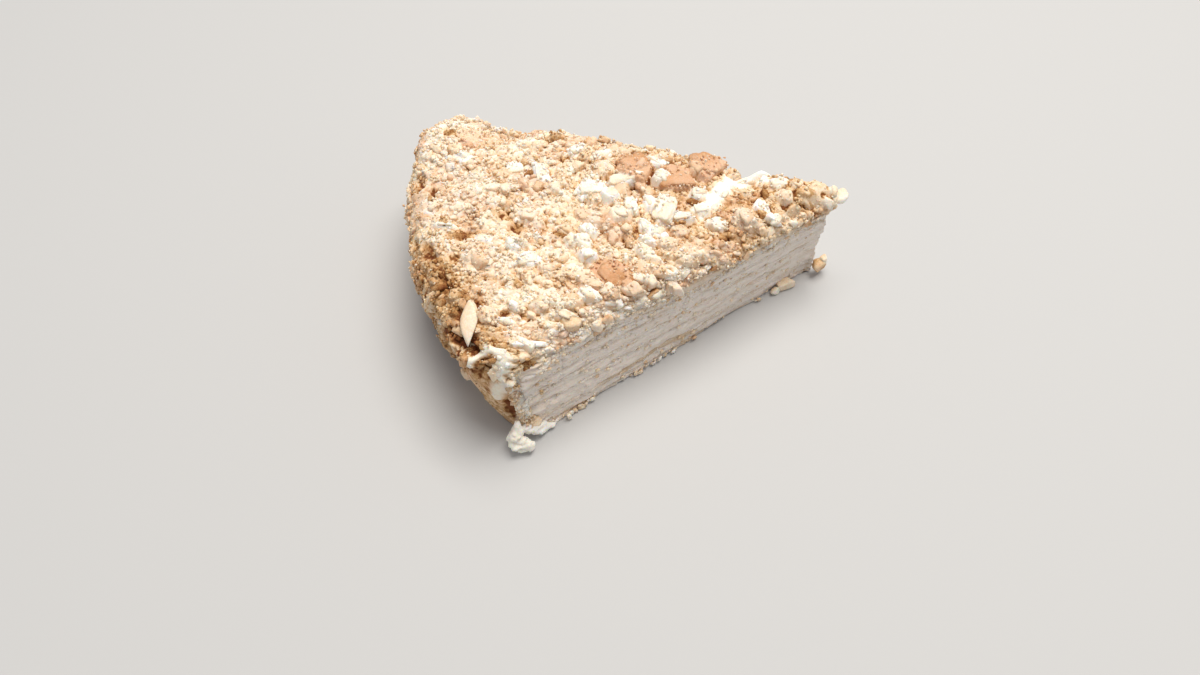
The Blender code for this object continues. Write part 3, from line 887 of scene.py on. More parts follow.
@dataclass(frozen=True, kw_only=True)
class CutLayer(Finish):
    """A layer's cut edge, whose points say how much of the other thing is smeared over it."""

    clean: tuple[tuple[float, str], ...]
    smeared: tuple[tuple[float, str], ...]
    streak_mm: tuple[float, float] = (7.0, 0.9)
    streak_detail: float = 5.0
    streak_roughness: float = 0.65
    grain_share: float = 0.6
    paler: float = -0.3
    ragged: float = 1.3
    worn: float = -1.04

    def material(self) -> Material:
        """Makes the material, streaked along the layers as the knife dragged it.

        Returns:
            The material.
        """
        made, tree, place = self.start()
        length, height = (1 / (size * MM) for size in self.streak_mm)
        drawn = add_node(tree, "ShaderNodeMapping", vector=place, scale=(length, length, height))
        drag = {"scale": 1.0, "detail": self.streak_detail, "roughness": self.streak_roughness}
        streak = add_node(tree, "ShaderNodeTexNoise", vector=drawn.outputs[0], **drag).outputs["Fac"]
        grain = self.speckle(tree, place, self.grain_mm, self.grain_detail)
        smear = self.trait(tree, "smear")
        rough = sum_of(tree, grain, self.grain_share, streak)
        level = sum_of(tree, rough, 1.0, self.paler)
        clean, dirty = ramp_of(tree, level, self.clean), ramp_of(tree, level, self.smeared)
        parts = {"input_0": smear, "input_1": sum_of(tree, rough, self.ragged, self.worn)}
        share = add_node(tree, "ShaderNodeMath", {"operation": "ADD", "use_clamp": True}, **parts)
        self.close(tree, mixed(tree, share.outputs[0], clean, dirty), rough)
        return made


CREAM_TONES = ((0.0, "#C9AE93"), (0.25, "#E4D2C0"), (0.5, "#F4E8DD"), (0.8, "#FDF6EF"))
PASTRY_TONES = ((0.0, "#A98258"), (0.25, "#CCAA82"), (0.5, "#DFC6A8"), (0.8, "#EFE1CC"))
CRUMBS = BakedCrumbs(
    name="crushed_baked_pastry",
    roughness=0.8,
    grain_detail=2.0,
    bump_mm=0.22,
    bump_strength=0.6,
    bleed=0.45,
    bleed_tint=(1.0, 0.7, 0.45),
)
CUSTARD = CutLayer(
    name="butter_custard", clean=CREAM_TONES, smeared=PASTRY_TONES, roughness=0.55, bleed=0.2
)
SHEET = CutLayer(
    name="baked_flaky_pastry",
    clean=PASTRY_TONES,
    smeared=CREAM_TONES,
    roughness=0.75,
    streak_mm=(6.0, 0.6),
    bump_mm=0.35,
)


def link(name: str, data: Any) -> Object:
    """Makes an object in the scene from its data."""
    made = bpy.data.objects.new(name, data)
    bpy.context.scene.collection.objects.link(made)
    return made


class Surface:
    """Points and faces gathered for one mesh, in millimetres."""

    def __init__(self) -> None:
        """Starts with nothing."""
        self.points: list[Array] = []
        self.triangles: list[Array] = []
        self.polygons: list[Array] = []
        self.count = 0

    def add(self, points: Array) -> Array:
        """Adds points and returns their numbers."""
        flat = np.asarray(points, float).reshape(-1, 3)
        self.points.append(flat)
        numbers = np.arange(self.count, self.count + len(flat))
        self.count += len(flat)
        return numbers

    def quads(self, a: Array, b: Array, c: Array, d: Array) -> None:
        """Adds four-cornered faces, each as two triangles."""
        self.triangles.append(np.stack((a, b, c), axis=1))
        self.triangles.append(np.stack((a, c, d), axis=1))

    def strip(self, low: Array, high: Array) -> None:
        """Joins two rows of unequal counts with triangles, in step with each other."""
        made = []
        i = j = 0
        last_low, last_high = len(low) - 1, len(high) - 1
        while i < last_low or j < last_high:
            if j == last_high or (i < last_low and (i + 1) * last_high <= (j + 1) * last_low):
                made.append((low[i], low[i + 1], high[j]))
                i += 1
            else:
                made.append((low[i], high[j + 1], high[j]))
                j += 1
        self.triangles.append(np.array(made))

    def piece(self, name: str, material: Material, traits: dict[str, Array]) -> Object:
        """Makes the mesh object, with one number for each point and trait.

        Args:
            name: the piece's name.
            material: its material.
            traits: values for each point, by attribute name.

        Returns:
            The object, linked to the scene.
        """
        points = np.concatenate(self.points) * MM
        triangles = np.concatenate(self.triangles)
        corners = np.concatenate([triangles.ravel(), *self.polygons]).astype(np.int32)
        total = np.array([3] * len(triangles) + [len(p) for p in self.polygons], np.int32)
        mesh = bpy.data.meshes.new(name)
        mesh.vertices.add(len(points))
        mesh.vertices.foreach_set("co", points.astype(np.float32).ravel())
        mesh.loops.add(len(corners))
        mesh.loops.foreach_set("vertex_index", corners)
        mesh.polygons.add(len(total))
        starts = (np.cumsum(total) - total).astype(np.int32)
        mesh.polygons.foreach_set("loop_start", starts)
        mesh.polygons.foreach_set("loop_total", total)
        mesh.update(calc_edges=True)
        for trait, values in traits.items():
            layer = mesh.attributes.new(trait, "FLOAT", "POINT")
            layer.data.foreach_set("value", np.asarray(values, np.float32).ravel())
        mesh.materials.append(material)
        return link(name, mesh)


def settle(piece: Object, slot: str, *nodes: str) -> None:
    """Fixes a piece to the slice, hides the solids that it replaces, and logs its faces.

    Args:
        piece: the finished piece.
        slot: not used.
        *nodes: the solids that it replaces, if any.
    """
    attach(piece, BODY)
    if nodes:
        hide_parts(*nodes)
    LOG.info("%s: %d faces", piece.name, len(piece.data.polygons))


@dataclass
class CrumbBed:
    """The body of the coat: fine crumbs packed so close that they make one rough surface."""

    coat: CoatMap
    pitch: float = 0.42
    section_steps: int = 15
    inner_steps: int = 9
    sink: float = 1.1
    rim_sink: float = 1.7
    worn: float = 3.6
    worn_drop: float = 0.41
    tone: float = 0.32
    patches: tuple[Pattern, ...] = (Pattern(0.07, 13, 13, 24), Pattern(0.06, 5, 5, 25))
    lumps: tuple[Pattern, ...] = (Pattern(0.5, 6.5, 6.5, 21), Pattern(0.4, 3.1, 3.1, 22))
    pinkness: Pattern = Pattern(0.45, 9, 9, 26)
    grit: Pattern = Pattern(0.07, 0.5, 0.5, 23)
    # painted shade: how much darker the crevices between crumbs are made
    painted_crevice_shade: float = 0.6
    stamps: tuple[tuple[int, float, float], ...] = (
        (330, 1.9, 3.4),
        (2400, 0.9, 1.9),
        (13500, 0.35, 0.9),
    )
    seed: int = 11
    relief: Relief = field(init=False)

    def base_tone(self, along: Array, over: Array) -> Array:
        """Gives the coat's tone at a place: random patches; darkest round the rim by the front corner,
        partly baked crust and partly painted shade; painted shade towards the tip; painted light along
        the worn front edge; paler on the rim's cut section.
        """
        patches = mottled(along, over, *self.patches)
        reach = np.minimum(along, self.coat.form.cake_radius)
        front = smooth((np.degrees(over / np.maximum(reach, 1.0)) + 2.0) / 11.0)
        # darker round the rim, most by the front corner: partly baked crust, partly painted shade
        rim = (0.19 + 0.17 * front) * smooth((along - 122.0 + 9.5 * front) / 5.0)
        rim = rim - 0.1 * front * smooth((along - 129.0) / 5.0)
        # painted shade: darker towards the tip
        far = 0.24 * smooth((72.0 - along) / 30.0)
        far = far - 0.08 * (1 - front) * smooth((along - 95.0) / 15.0)
        # painted light: paler along the worn edge of the front cut
        edge = 0.14 * smooth((over - self.coat.width(along) + 4.0) / 3.0) * (along < 118.0)
        wet = 0.3 * (over > self.coat.width(along)) * (along > 122.0)
        return self.tone + patches + rim + far - edge - wet

    def skin(self, along: Array, over: Array) -> Array:
        """Gives how smooth the coat is: the rim by the front corner is one smooth baked skin."""
        degrees = np.degrees(over / self.coat.form.cake_radius)
        return smooth((degrees - 11.0) / 4.0) * smooth((along - 128.0) / 3.0)

    def press_crumbs(self) -> None:
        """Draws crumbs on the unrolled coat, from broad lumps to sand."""
        draw = np.random.default_rng(self.seed)
        relief = self.relief = Relief(self.coat)
        along, over = relief.grid()
        lumps = mottled(along, over, *self.lumps)
        relief.height[:] = lumps
        # painted shade: the tone is darker where the broad lumps dip and paler on their tops
        relief.base[:] = self.base_tone(along, over) + 0.03 - 0.06 * lumps
        relief.blush[:] = np.clip(0.25 + mottled(along, over, self.pinkness), 0, 1)
        for dent in DENTS:
            relief.press(dent, self.coat)
        relief.tone[:] = relief.base
        for many, smallest, largest in self.stamps:
            for _ in range(many):
                self.press_crumb(smallest, largest, draw)
        for run in RUNS:
            relief.draw_run(run, self.coat)
        relief.height += mottled(along, over, self.grit)
        relief.height *= 1.0 - 0.6 * self.skin(along, over)

    def press_crumb(self, smallest: float, largest: float, draw: Chance) -> None:
        """Presses one crumb in anywhere on the coat, but no broad one low on the rim.

        Args:
            smallest: the least radius.
            largest: the greatest radius.
            draw: the source of chance.
        """
        relief = self.relief
        along = self.coat.form.length * math.sqrt(draw.uniform(0.0, 1.0))
        reach = float(self.coat.width(np.array(along))) + 7.0
        over = draw.uniform(-reach, reach)
        radius = smallest + (largest - smallest) * draw.uniform() ** 1.6
        if radius > 1.9 and draw.uniform() < smooth((along - 100.0) / 20.0):
            return
        row, column = relief.cell(along, over)
        shade = (0.05 + 0.07 * min(radius, 1.5)) * draw.normal()
        blush = float(relief.blush[row, column]) * draw.uniform(0.3, 1.7)
        look = Look(shade, blush, draw.uniform(0, math.tau))
        halves = (radius, radius * draw.uniform(0.6, 1.0))
        relief.stamp(along, over, halves, draw.uniform(0.0, 0.42) * halves[1], look, draw)

    def place(self, along: Array, over: Array, height: Array) -> tuple[Array, Array]:
        """Finds points over the sunk bed, and the ways out of it.

        Args:
            along: distances along the skin.
            over: distances across the skin.
            height: heights over the bed.

        Returns:
            The points and the unit normals.
        """
        point, normal = self.coat.at(along, over)
        past = smooth((np.abs(over) - self.coat.width(along)) / 1.5)
        degrees = np.degrees(over / np.maximum(along, 1.0))
        rim = self.rim_sink * smooth((degrees - 3.0) / 6.0) - 0.7
        sunk = self.sink + rim * smooth((along - 118.0) / 8.0)
        height = height - sunk * (1 - 0.6 * past)
        worn = np.clip(1 - np.abs(over - self.coat.width(along)) / self.worn, 0, 1) ** 2
        worn = self.worn_drop * self.worn * worn * smooth((118.0 - along) / 8.0)
        worn = worn * smooth((along - 6.0) / 8.0)
        inward = -(self.coat.form.across(Side.FRONT) + np.array([0.0, 0.0, 1.0])) / math.sqrt(2)
        point = point + normal * height[..., None] + worn[..., None] * inward
        return held(self.coat.form.lean(point)), normal

    def creamy(self, points: Array) -> Array:
        """Gives how much cream the knife dragged over the coat's own cut edge."""
        form = self.coat.form
        reach, angle = form.polar(points)
        behind = reach * np.sin(form.half_angle - angle)
        recess = smooth((reach - 111.0) / 1.2) * smooth((6.6 - np.abs(points[:, 2] - 14.6)) / 1.4)
        cream = smooth(1.0 - (behind - 0.5) / 1.4) * smooth((form.cream_line(reach) - points[:, 2]) / 1.6)
        return cream * (1.0 - recess)

    def build(self, material: Material) -> Object:
        """Makes the coat's closed mesh, ring by ring from the tip to the foot.

        Args:
            material: the crumbs' material.

        Returns:
            The piece.
        """
        form, relief, surface = self.coat.form, self.relief, Surface()
        # painted shade: cells that lie deep between their neighbours are made darker
        relief.tone += self.painted_crevice_shade * relief.crevices()
        traits: dict[str, list[Array]] = {"tone": [], "blush": []}
        rings = []
        for along in np.append(np.arange(form.start, form.length, self.pitch), form.length):
            points, tone, blush, count = self.ring(along)
            rings.append((surface.add(points), count))
            traits["tone"].append(tone)
            traits["blush"].append(blush)
        for (low, low_count), (high, high_count) in zip(rings, rings[1:]):
            surface.strip(high[:high_count], low[:low_count])
            low_rest = np.append(low[low_count - 1 :], low[0])
            high_rest = np.append(high[high_count - 1 :], high[0])
            surface.quads(low_rest[:-1], high_rest[:-1], high_rest[1:], low_rest[1:])
        surface.polygons += [rings[0][0], rings[-1][0][::-1]]
        points = np.concatenate(surface.points)
        whole = {name: np.concatenate(values) for name, values in traits.items()}
        whole["tone"] = whole["tone"] + self.darker_low_on_rim(points)
        whole["blush"] = np.clip(whole["blush"], 0, 1)
        return surface.piece("crumb_bed", material, whole | {"cream": self.creamy(points)})

    def ring(self, along: float) -> tuple[Array, Array, Array, int]:
        """Makes one ring of the coat: over the skin, down both cuts and back on the inside.

        Args:
            along: the ring's distance along the skin.

        Returns:
            Its points, tones and blushes, and how many of the points lie on the skin.
        """
        form, coat, relief = self.coat.form, self.coat, self.relief
        width = float(coat.width(np.array(along)))
        count = max(4, int(round(2 * width / self.pitch)) + 1)
        sides = [np.array(side) for side in (1.0, -1.0)]
        inner = [coat.inner(np.array(along), side) for side in sides]
        edge = [form.skin(np.array(along), side * form.half_angle) for side in sides]
        depth = [np.linalg.norm(corner - top) for corner, top in zip(inner, edge)]
        steps = np.linspace(0, 1, self.section_steps + 1)[1:]
        down_cuts = (width + steps * depth[0], -(width + steps[::-1] * depth[1]))
        over = np.concatenate((np.linspace(-width, width, count), *down_cuts))
        span = np.full(len(over), along)
        height, tone, blush = (
            relief.sample(sheet, span, over) for sheet in (relief.height, relief.tone, relief.blush)
        )
        points, _ = self.place(span, over, height)
        half = count + self.section_steps
        for number, corner in zip((half - 1, half), inner):
            points[number] = form.lean(corner)
        share = np.linspace(0, 1, self.inner_steps + 2)[1:-1]
        under = form.lean(self.underside(inner, share, form.half_angle * (1 - 2 * share)))
        ring = np.concatenate((points[:half], under, points[half:]))
        ring[:, 2] = np.maximum(ring[:, 2], 0.0) if along < form.length else 0.0
        tone = np.concatenate((tone[:half], np.full(len(under), 0.5), tone[half:]))
        blush = np.concatenate((blush[:half], np.zeros(len(under)), blush[half:]))
        return ring, tone, blush, count

    def underside(self, inner: list[Array], share: Array, angle: Array) -> Array:
        """Gives the points of a ring on the coat's inside, between its two inner corners."""
        form = self.coat.form
        if inner[0][2] < form.ceiling - 1e-6:
            reach = form.core_radius(angle, inner[0][2])
        else:
            ends = [np.hypot(corner[0] - form.tip_x, corner[1] - form.tip_y) for corner in inner]
            near = form.core_radius(angle, form.ceiling)
            reach = ends[0] * (1 - share) + ends[1] * share
            reach = np.minimum(reach * near / (near[0] * (1 - share) + near[-1] * share), near)
        return form.plan(reach, angle, inner[0][2] * (1 - share) + inner[1][2] * share)

    def darker_low_on_rim(self, points: Array) -> Array:
        """Gives how much darker the crumbs are low on the rim than on the top."""
        reach, _ = self.coat.form.polar(points)
        # the crumbs are darker low on the rim
        return 0.05 * smooth((reach - 106.0) / 8.0) * smooth((30.0 - points[:, 2]) / 14.0)


class Cut(Enum):
    """How a crumb broke: the shares of its length that it is wide and thick, and how far it tilts."""

    SAND = (0.85, 0.85, 3.14)
    CHUNK = (0.85, 0.75, 3.14)
    CHIP = (0.8, 0.42, 0.6)
    SLAB = (1.0, 1.0, 0.3)
    LEAF = (1.0, 1.0, 0.1)


@dataclass(frozen=True)
class CrumbShapes:
    """A few shapes of broken crumb, one unit across, that many crumbs share."""

    detail: int
    cut: Cut
    many: int
    seed: int
    rough: float
    sharpness: ClassVar[int] = 14
    uneven: ClassVar[float] = 0.22
    extra_sides: ClassVar[int] = 7
    bumps: ClassVar[tuple[tuple[float, float], ...]] = ((2.1, 1.0), (4.7, 1.2), (9.3, 1.0))

    def shapes(self) -> tuple[list[Array], Array]:
        """Makes the shapes.

        Returns:
            The points of each shape, and the triangles that they share.
        """
        ball = bmesh.new()
        bmesh.ops.create_icosphere(ball, subdivisions=self.detail, radius=1.0)
        ways = np.array([v.co[:] for v in ball.verts])
        triangles = np.array([[v.index for v in f.verts] for f in ball.faces])
        ball.free()
        draw = np.random.default_rng(self.seed)
        made = []
        for number in range(self.many):
            box = np.concatenate((np.eye(3), -np.eye(3))) + draw.normal(0, self.uneven, (6, 3))
            facing = unit(np.concatenate((box, draw.normal(size=(self.extra_sides, 3)))))
            near, outer = draw.uniform(0.62, 0.9, 6), draw.uniform(0.72, 1.05, self.extra_sides)
            lying = np.maximum(ways @ facing.T, 0.0) / np.concatenate((near, outer))
            power = (lying**self.sharpness).sum(axis=1)
            reach = np.clip(power ** (-1 / self.sharpness), 0.3, 1.4)
            for scale, share in self.bumps:
                shift = Vector((number * 7.0, scale, 0))
                bumps = [noise.noise(Vector(w) * scale + shift) for w in ways]
                reach = reach * (1 + self.rough * share * np.array(bumps))
            points = ways * reach[:, None]
            points /= np.abs(points).max(axis=0)
            if self.cut in (Cut.CHIP, Cut.SLAB):
                points[:, 2] += draw.uniform(-0.25, 0.25) * points[:, 0] ** 2
            if self.cut is Cut.LEAF:
                points[:, 1] *= np.maximum(0.06, 1 - 0.9 * np.abs(points[:, 0] + 0.15) ** 1.7)
                points[:, 2] -= 2.2 * np.maximum(0.0, points[:, 0] + 0.1) ** 2
            made.append(points * 0.5 * np.array([1.0, *self.cut.value[:2]]))
        return made, triangles


@dataclass
class CrumbBatch:
    """Crumbs gathered for one piece: where each lies, how it is turned, and its look.

    A row holds the middle, the way out of the surface, the three sizes, then turn, tilt, tone and
    blush.
    """

    name: str
    shapes: CrumbShapes
    rows: Array
    # foot: painted shade that darkens the lower half of each crumb, towards the surface it lies on
    foot: float = 0.32
    crust: float = 0.2

    def frames(self, up: Array, turn: Array, tilt: Array) -> Array:
        """Gives each crumb's axes: its own up leans off the surface by its tilt."""
        turn, tilt = turn[:, None], tilt[:, None]
        helper = np.where(np.abs(up[:, 2:3]) > 0.9, np.array([[1.0, 0, 0]]), np.array([[0, 0, 1.0]]))
        first = unit(np.cross(helper, up))
        x = first * np.cos(turn) + np.cross(up, first) * np.sin(turn)
        tilted = up * np.cos(tilt) + np.cross(up, x) * np.sin(tilt)
        return np.stack((x, np.cross(tilted, x), tilted), axis=2)

    def build(self, material: Material) -> Object:
        """Makes all the crumbs as one mesh.

        Args:
            material: the crumbs' material.

        Returns:
            The piece.
        """
        forms, triangles = self.shapes.shapes()
        middles, normals, sizes = self.rows[:, :3], self.rows[:, 3:6], self.rows[:, 6:9]
        frames = self.frames(normals, self.rows[:, 9], self.rows[:, 10])
        chosen = np.arange(len(self.rows)) % len(forms)
        draw = np.random.default_rng(self.shapes.seed + 100)
        surface = Surface()
        tones, blushes = [], []
        for number, form in enumerate(forms):
            picked = np.nonzero(chosen == number)[0]
            crust = draw.normal(size=3)
            if not len(picked):
                continue
            grown = form[None] * sizes[picked][:, None, :]
            placed = np.einsum("nij,nvj->nvi", frames[picked], grown)
            high = np.einsum("nvj,nj->nv", placed, normals[picked])
            high = high / sizes[picked].max(axis=1)[:, None]
            placed = placed + middles[picked][:, None, :]
            numbers = surface.add(held(placed)).reshape(len(picked), -1)
            surface.triangles.append(numbers[:, triangles].reshape(-1, 3))
            facing = form @ (crust / np.linalg.norm(crust)) * 2
            baked = self.crust * np.maximum(0.0, facing) ** 2
            # painted shade: each crumb's lower half is darker by foot; baked is the real toasted crust on
            # one side
            shade = baked[None] + self.foot * smooth(0.5 - 1.2 * high)
            tones.append((self.rows[picked, 11][:, None] + shade).ravel())
            blushes.append(np.repeat(self.rows[picked, 12], len(form)))
        traits = {"tone": np.concatenate(tones), "blush": np.concatenate(blushes)}
        return surface.piece(self.name, material, traits)


@dataclass(frozen=True)
class CrumbKind:
    """One size of crumb, from its smallest to its largest in millimetres."""

    name: str
    count: int
    smallest: float
    largest: float
    shapes: CrumbShapes
    spacing: float


@dataclass
class Scatter:
    """Loose crumbs stuck all over the coat, the largest laid first and the sand over them."""

    bed: CrumbBed
    seed: int = 29
    highest: float = 41.2
    swings: Pattern = Pattern(0.4, 14, 14, 31)
    cream_clear: float = 0.6
    # painted shade on the lower half of each loose crumb
    foot: float = 0.2
    kinds: tuple[CrumbKind, ...] = (
        CrumbKind("crumbs_large", 60, 3.8, 6.0, CrumbShapes(3, Cut.CHUNK, 14, 2, 0.1), 0.7),
        CrumbKind("crumbs_medium", 340, 2.3, 3.8, CrumbShapes(3, Cut.CHUNK, 18, 3, 0.1), 0.6),
        CrumbKind("crumbs_flat", 200, 2.2, 4.6, CrumbShapes(3, Cut.CHIP, 14, 4, 0.1), 0.6),
        CrumbKind("crumbs_small", 1700, 1.1, 2.3, CrumbShapes(2, Cut.CHUNK, 20, 5, 0.1), 0.4),
        CrumbKind("crumbs_fine", 5000, 0.5, 1.2, CrumbShapes(1, Cut.SAND, 20, 6, 0.1), 0.0),
        CrumbKind("crumbs_sand", 3600, 0.4, 0.8, CrumbShapes(1, Cut.SAND, 16, 10, 0.1), 0.0),
    )

    def coarseness(self, along: Array, over: Array) -> Array:
        """Gives how far a place favours large crumbs: least by the rim, most in the middle."""
        form = self.bed.coat.form
        base = 0.7 + 0.3 * smooth((108 - along) / 40)
        base = base + 0.3 * smooth((along - form.cake_radius) / 6)
        return np.clip(base + mottled(along, over, self.swings), 0.1, 1.0)

    def bare(self, along: Array, over: Array) -> Array:
        """Tells where smeared cream keeps crumbs off."""
        coat = self.bed.coat
        points, _ = coat.at(along, over)
        reach, _ = coat.form.polar(points)
        below = points[:, 2] < coat.form.cream_line(reach) + self.cream_clear
        on_cut = over > coat.width(along)
        smooth_skin = (self.bed.skin(along, over) > 0.5) & (over < coat.width(along))
        return on_cut & below & (along < 118.0) | smooth_skin

    def build(self, material: Material) -> None:
        """Lays the crumbs and makes one piece for each kind."""
        draw = np.random.default_rng(self.seed)
        for kind in self.kinds:
            settle(self.lay(kind, draw).build(material), "crumbs")

    def lay(self, kind: CrumbKind, draw: Chance) -> CrumbBatch:
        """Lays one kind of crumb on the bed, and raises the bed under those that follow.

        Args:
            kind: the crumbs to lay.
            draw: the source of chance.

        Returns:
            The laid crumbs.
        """
        relief, form = self.bed.relief, self.bed.coat.form
        tries = 14 * kind.count
        along = form.length * np.sqrt(draw.uniform(0.0003, 0.985, tries))
        over = draw.uniform(-1, 1, tries) * (self.bed.coat.width(along) + 5.6)
        size = kind.smallest + (kind.largest - kind.smallest) * draw.uniform(size=tries) ** 1.7
        wanted = draw.uniform(size=tries) < self.coarseness(along, over) ** np.minimum(1.0, size / 1.8)
        wanted &= ~self.bare(along, over) | ((size < 1.1) & (draw.uniform(size=tries) < 0.12))
        wanted &= draw.uniform(size=tries) > 0.82 * relief.sample(relief.hollow, along, over)
        on_larger = draw.uniform(size=tries) < (0.75 if kind.spacing == 0 else 0.1)
        shade = 0.08 * draw.normal(size=tries) - 0.2 * (draw.uniform(size=tries) < 0.06)
        row, column = relief.cell(along, over)
        kept: list[int] = []
        found: list[tuple[float, float, float]] = []
        for number in np.nonzero(wanted)[0]:
            spot = row[number], column[number]
            if relief.taken[spot] and not on_larger[number]:
                continue
            kept.append(number)
            level = float(relief.height[spot] + relief.lid[spot])
            tone = max(0.0, float(relief.base[spot]) + shade[number])
            if kind.spacing:
                cells, _, _ = relief.window(along[number], over[number], kind.spacing * size[number] / 2)
                relief.taken[cells] = True
                cells, _, _ = relief.window(along[number], over[number], 0.33 * size[number])
                level = float(relief.height[cells].mean())
                relief.height[cells] = np.maximum(relief.height[cells], level + 0.26 * size[number])
                relief.base[cells] = tone
            found.append((level, tone, float(relief.blush[spot])))
            if len(kept) == kind.count:
                break
        return self.gather(kind, along[kept], over[kept], size[kept], np.array(found).T, draw)

    def gather(
        self, kind: CrumbKind, along: Array, over: Array, size: Array, found: Array, draw: Chance
    ) -> CrumbBatch:
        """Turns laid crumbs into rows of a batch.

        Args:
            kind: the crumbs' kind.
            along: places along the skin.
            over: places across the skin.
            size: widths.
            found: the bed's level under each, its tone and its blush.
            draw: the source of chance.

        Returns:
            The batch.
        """
        many = len(along)
        thick = size * kind.shapes.cut.value[1]
        height, tone, blush = found
        height = height + thick * draw.uniform(-0.36, 0.08, many)
        points, normals = self.bed.place(along, over, height)
        tone = tone + self.bed.darker_low_on_rim(points)
        blush = np.clip(blush * draw.uniform(0.4, 1.4, many), 0.0, 1.0)
        tilt = draw.uniform(-1, 1, many) * kind.shapes.cut.value[2]
        shares = (np.ones(many), draw.uniform(0.8, 1.1, many), draw.uniform(0.8, 1.15, many))
        sizes = size[:, None] * np.stack(shares, axis=1)
        look = np.stack((draw.uniform(0, math.tau, many), tilt, tone, blush), axis=1)
        rows = np.concatenate((points, normals, sizes, look), axis=1)
        inside = (points[:, 2] > 0.35 * thick) & (points[:, 2] + 0.5 * thick < self.highest)
        return CrumbBatch(kind.name, kind.shapes, rows[inside], self.foot)


@dataclass(frozen=True)
class Chip:
    """A crumb large enough to know by sight: its place, size, turn, tilt, look and how high it lies.

    On a cut the height is in millimetres ahead of it; elsewhere it is a share of the thickness.
    """

    face: Face
    first: float
    second: float
    size: tuple[float, float, float]
    turn: float = 0.0
    tilt: float = 8.0
    tone: float = 0.1
    blush: float = 0.0
    lift: float = 0.4


def chips(face: Face, rows: tuple[tuple[float, ...], ...]) -> tuple[Chip, ...]:
    """Makes the chips of one face from rows of their numbers: place, three sizes, and the rest."""
    return tuple(Chip(face, *row[:2], row[2:5], *row[5:]) for row in rows)


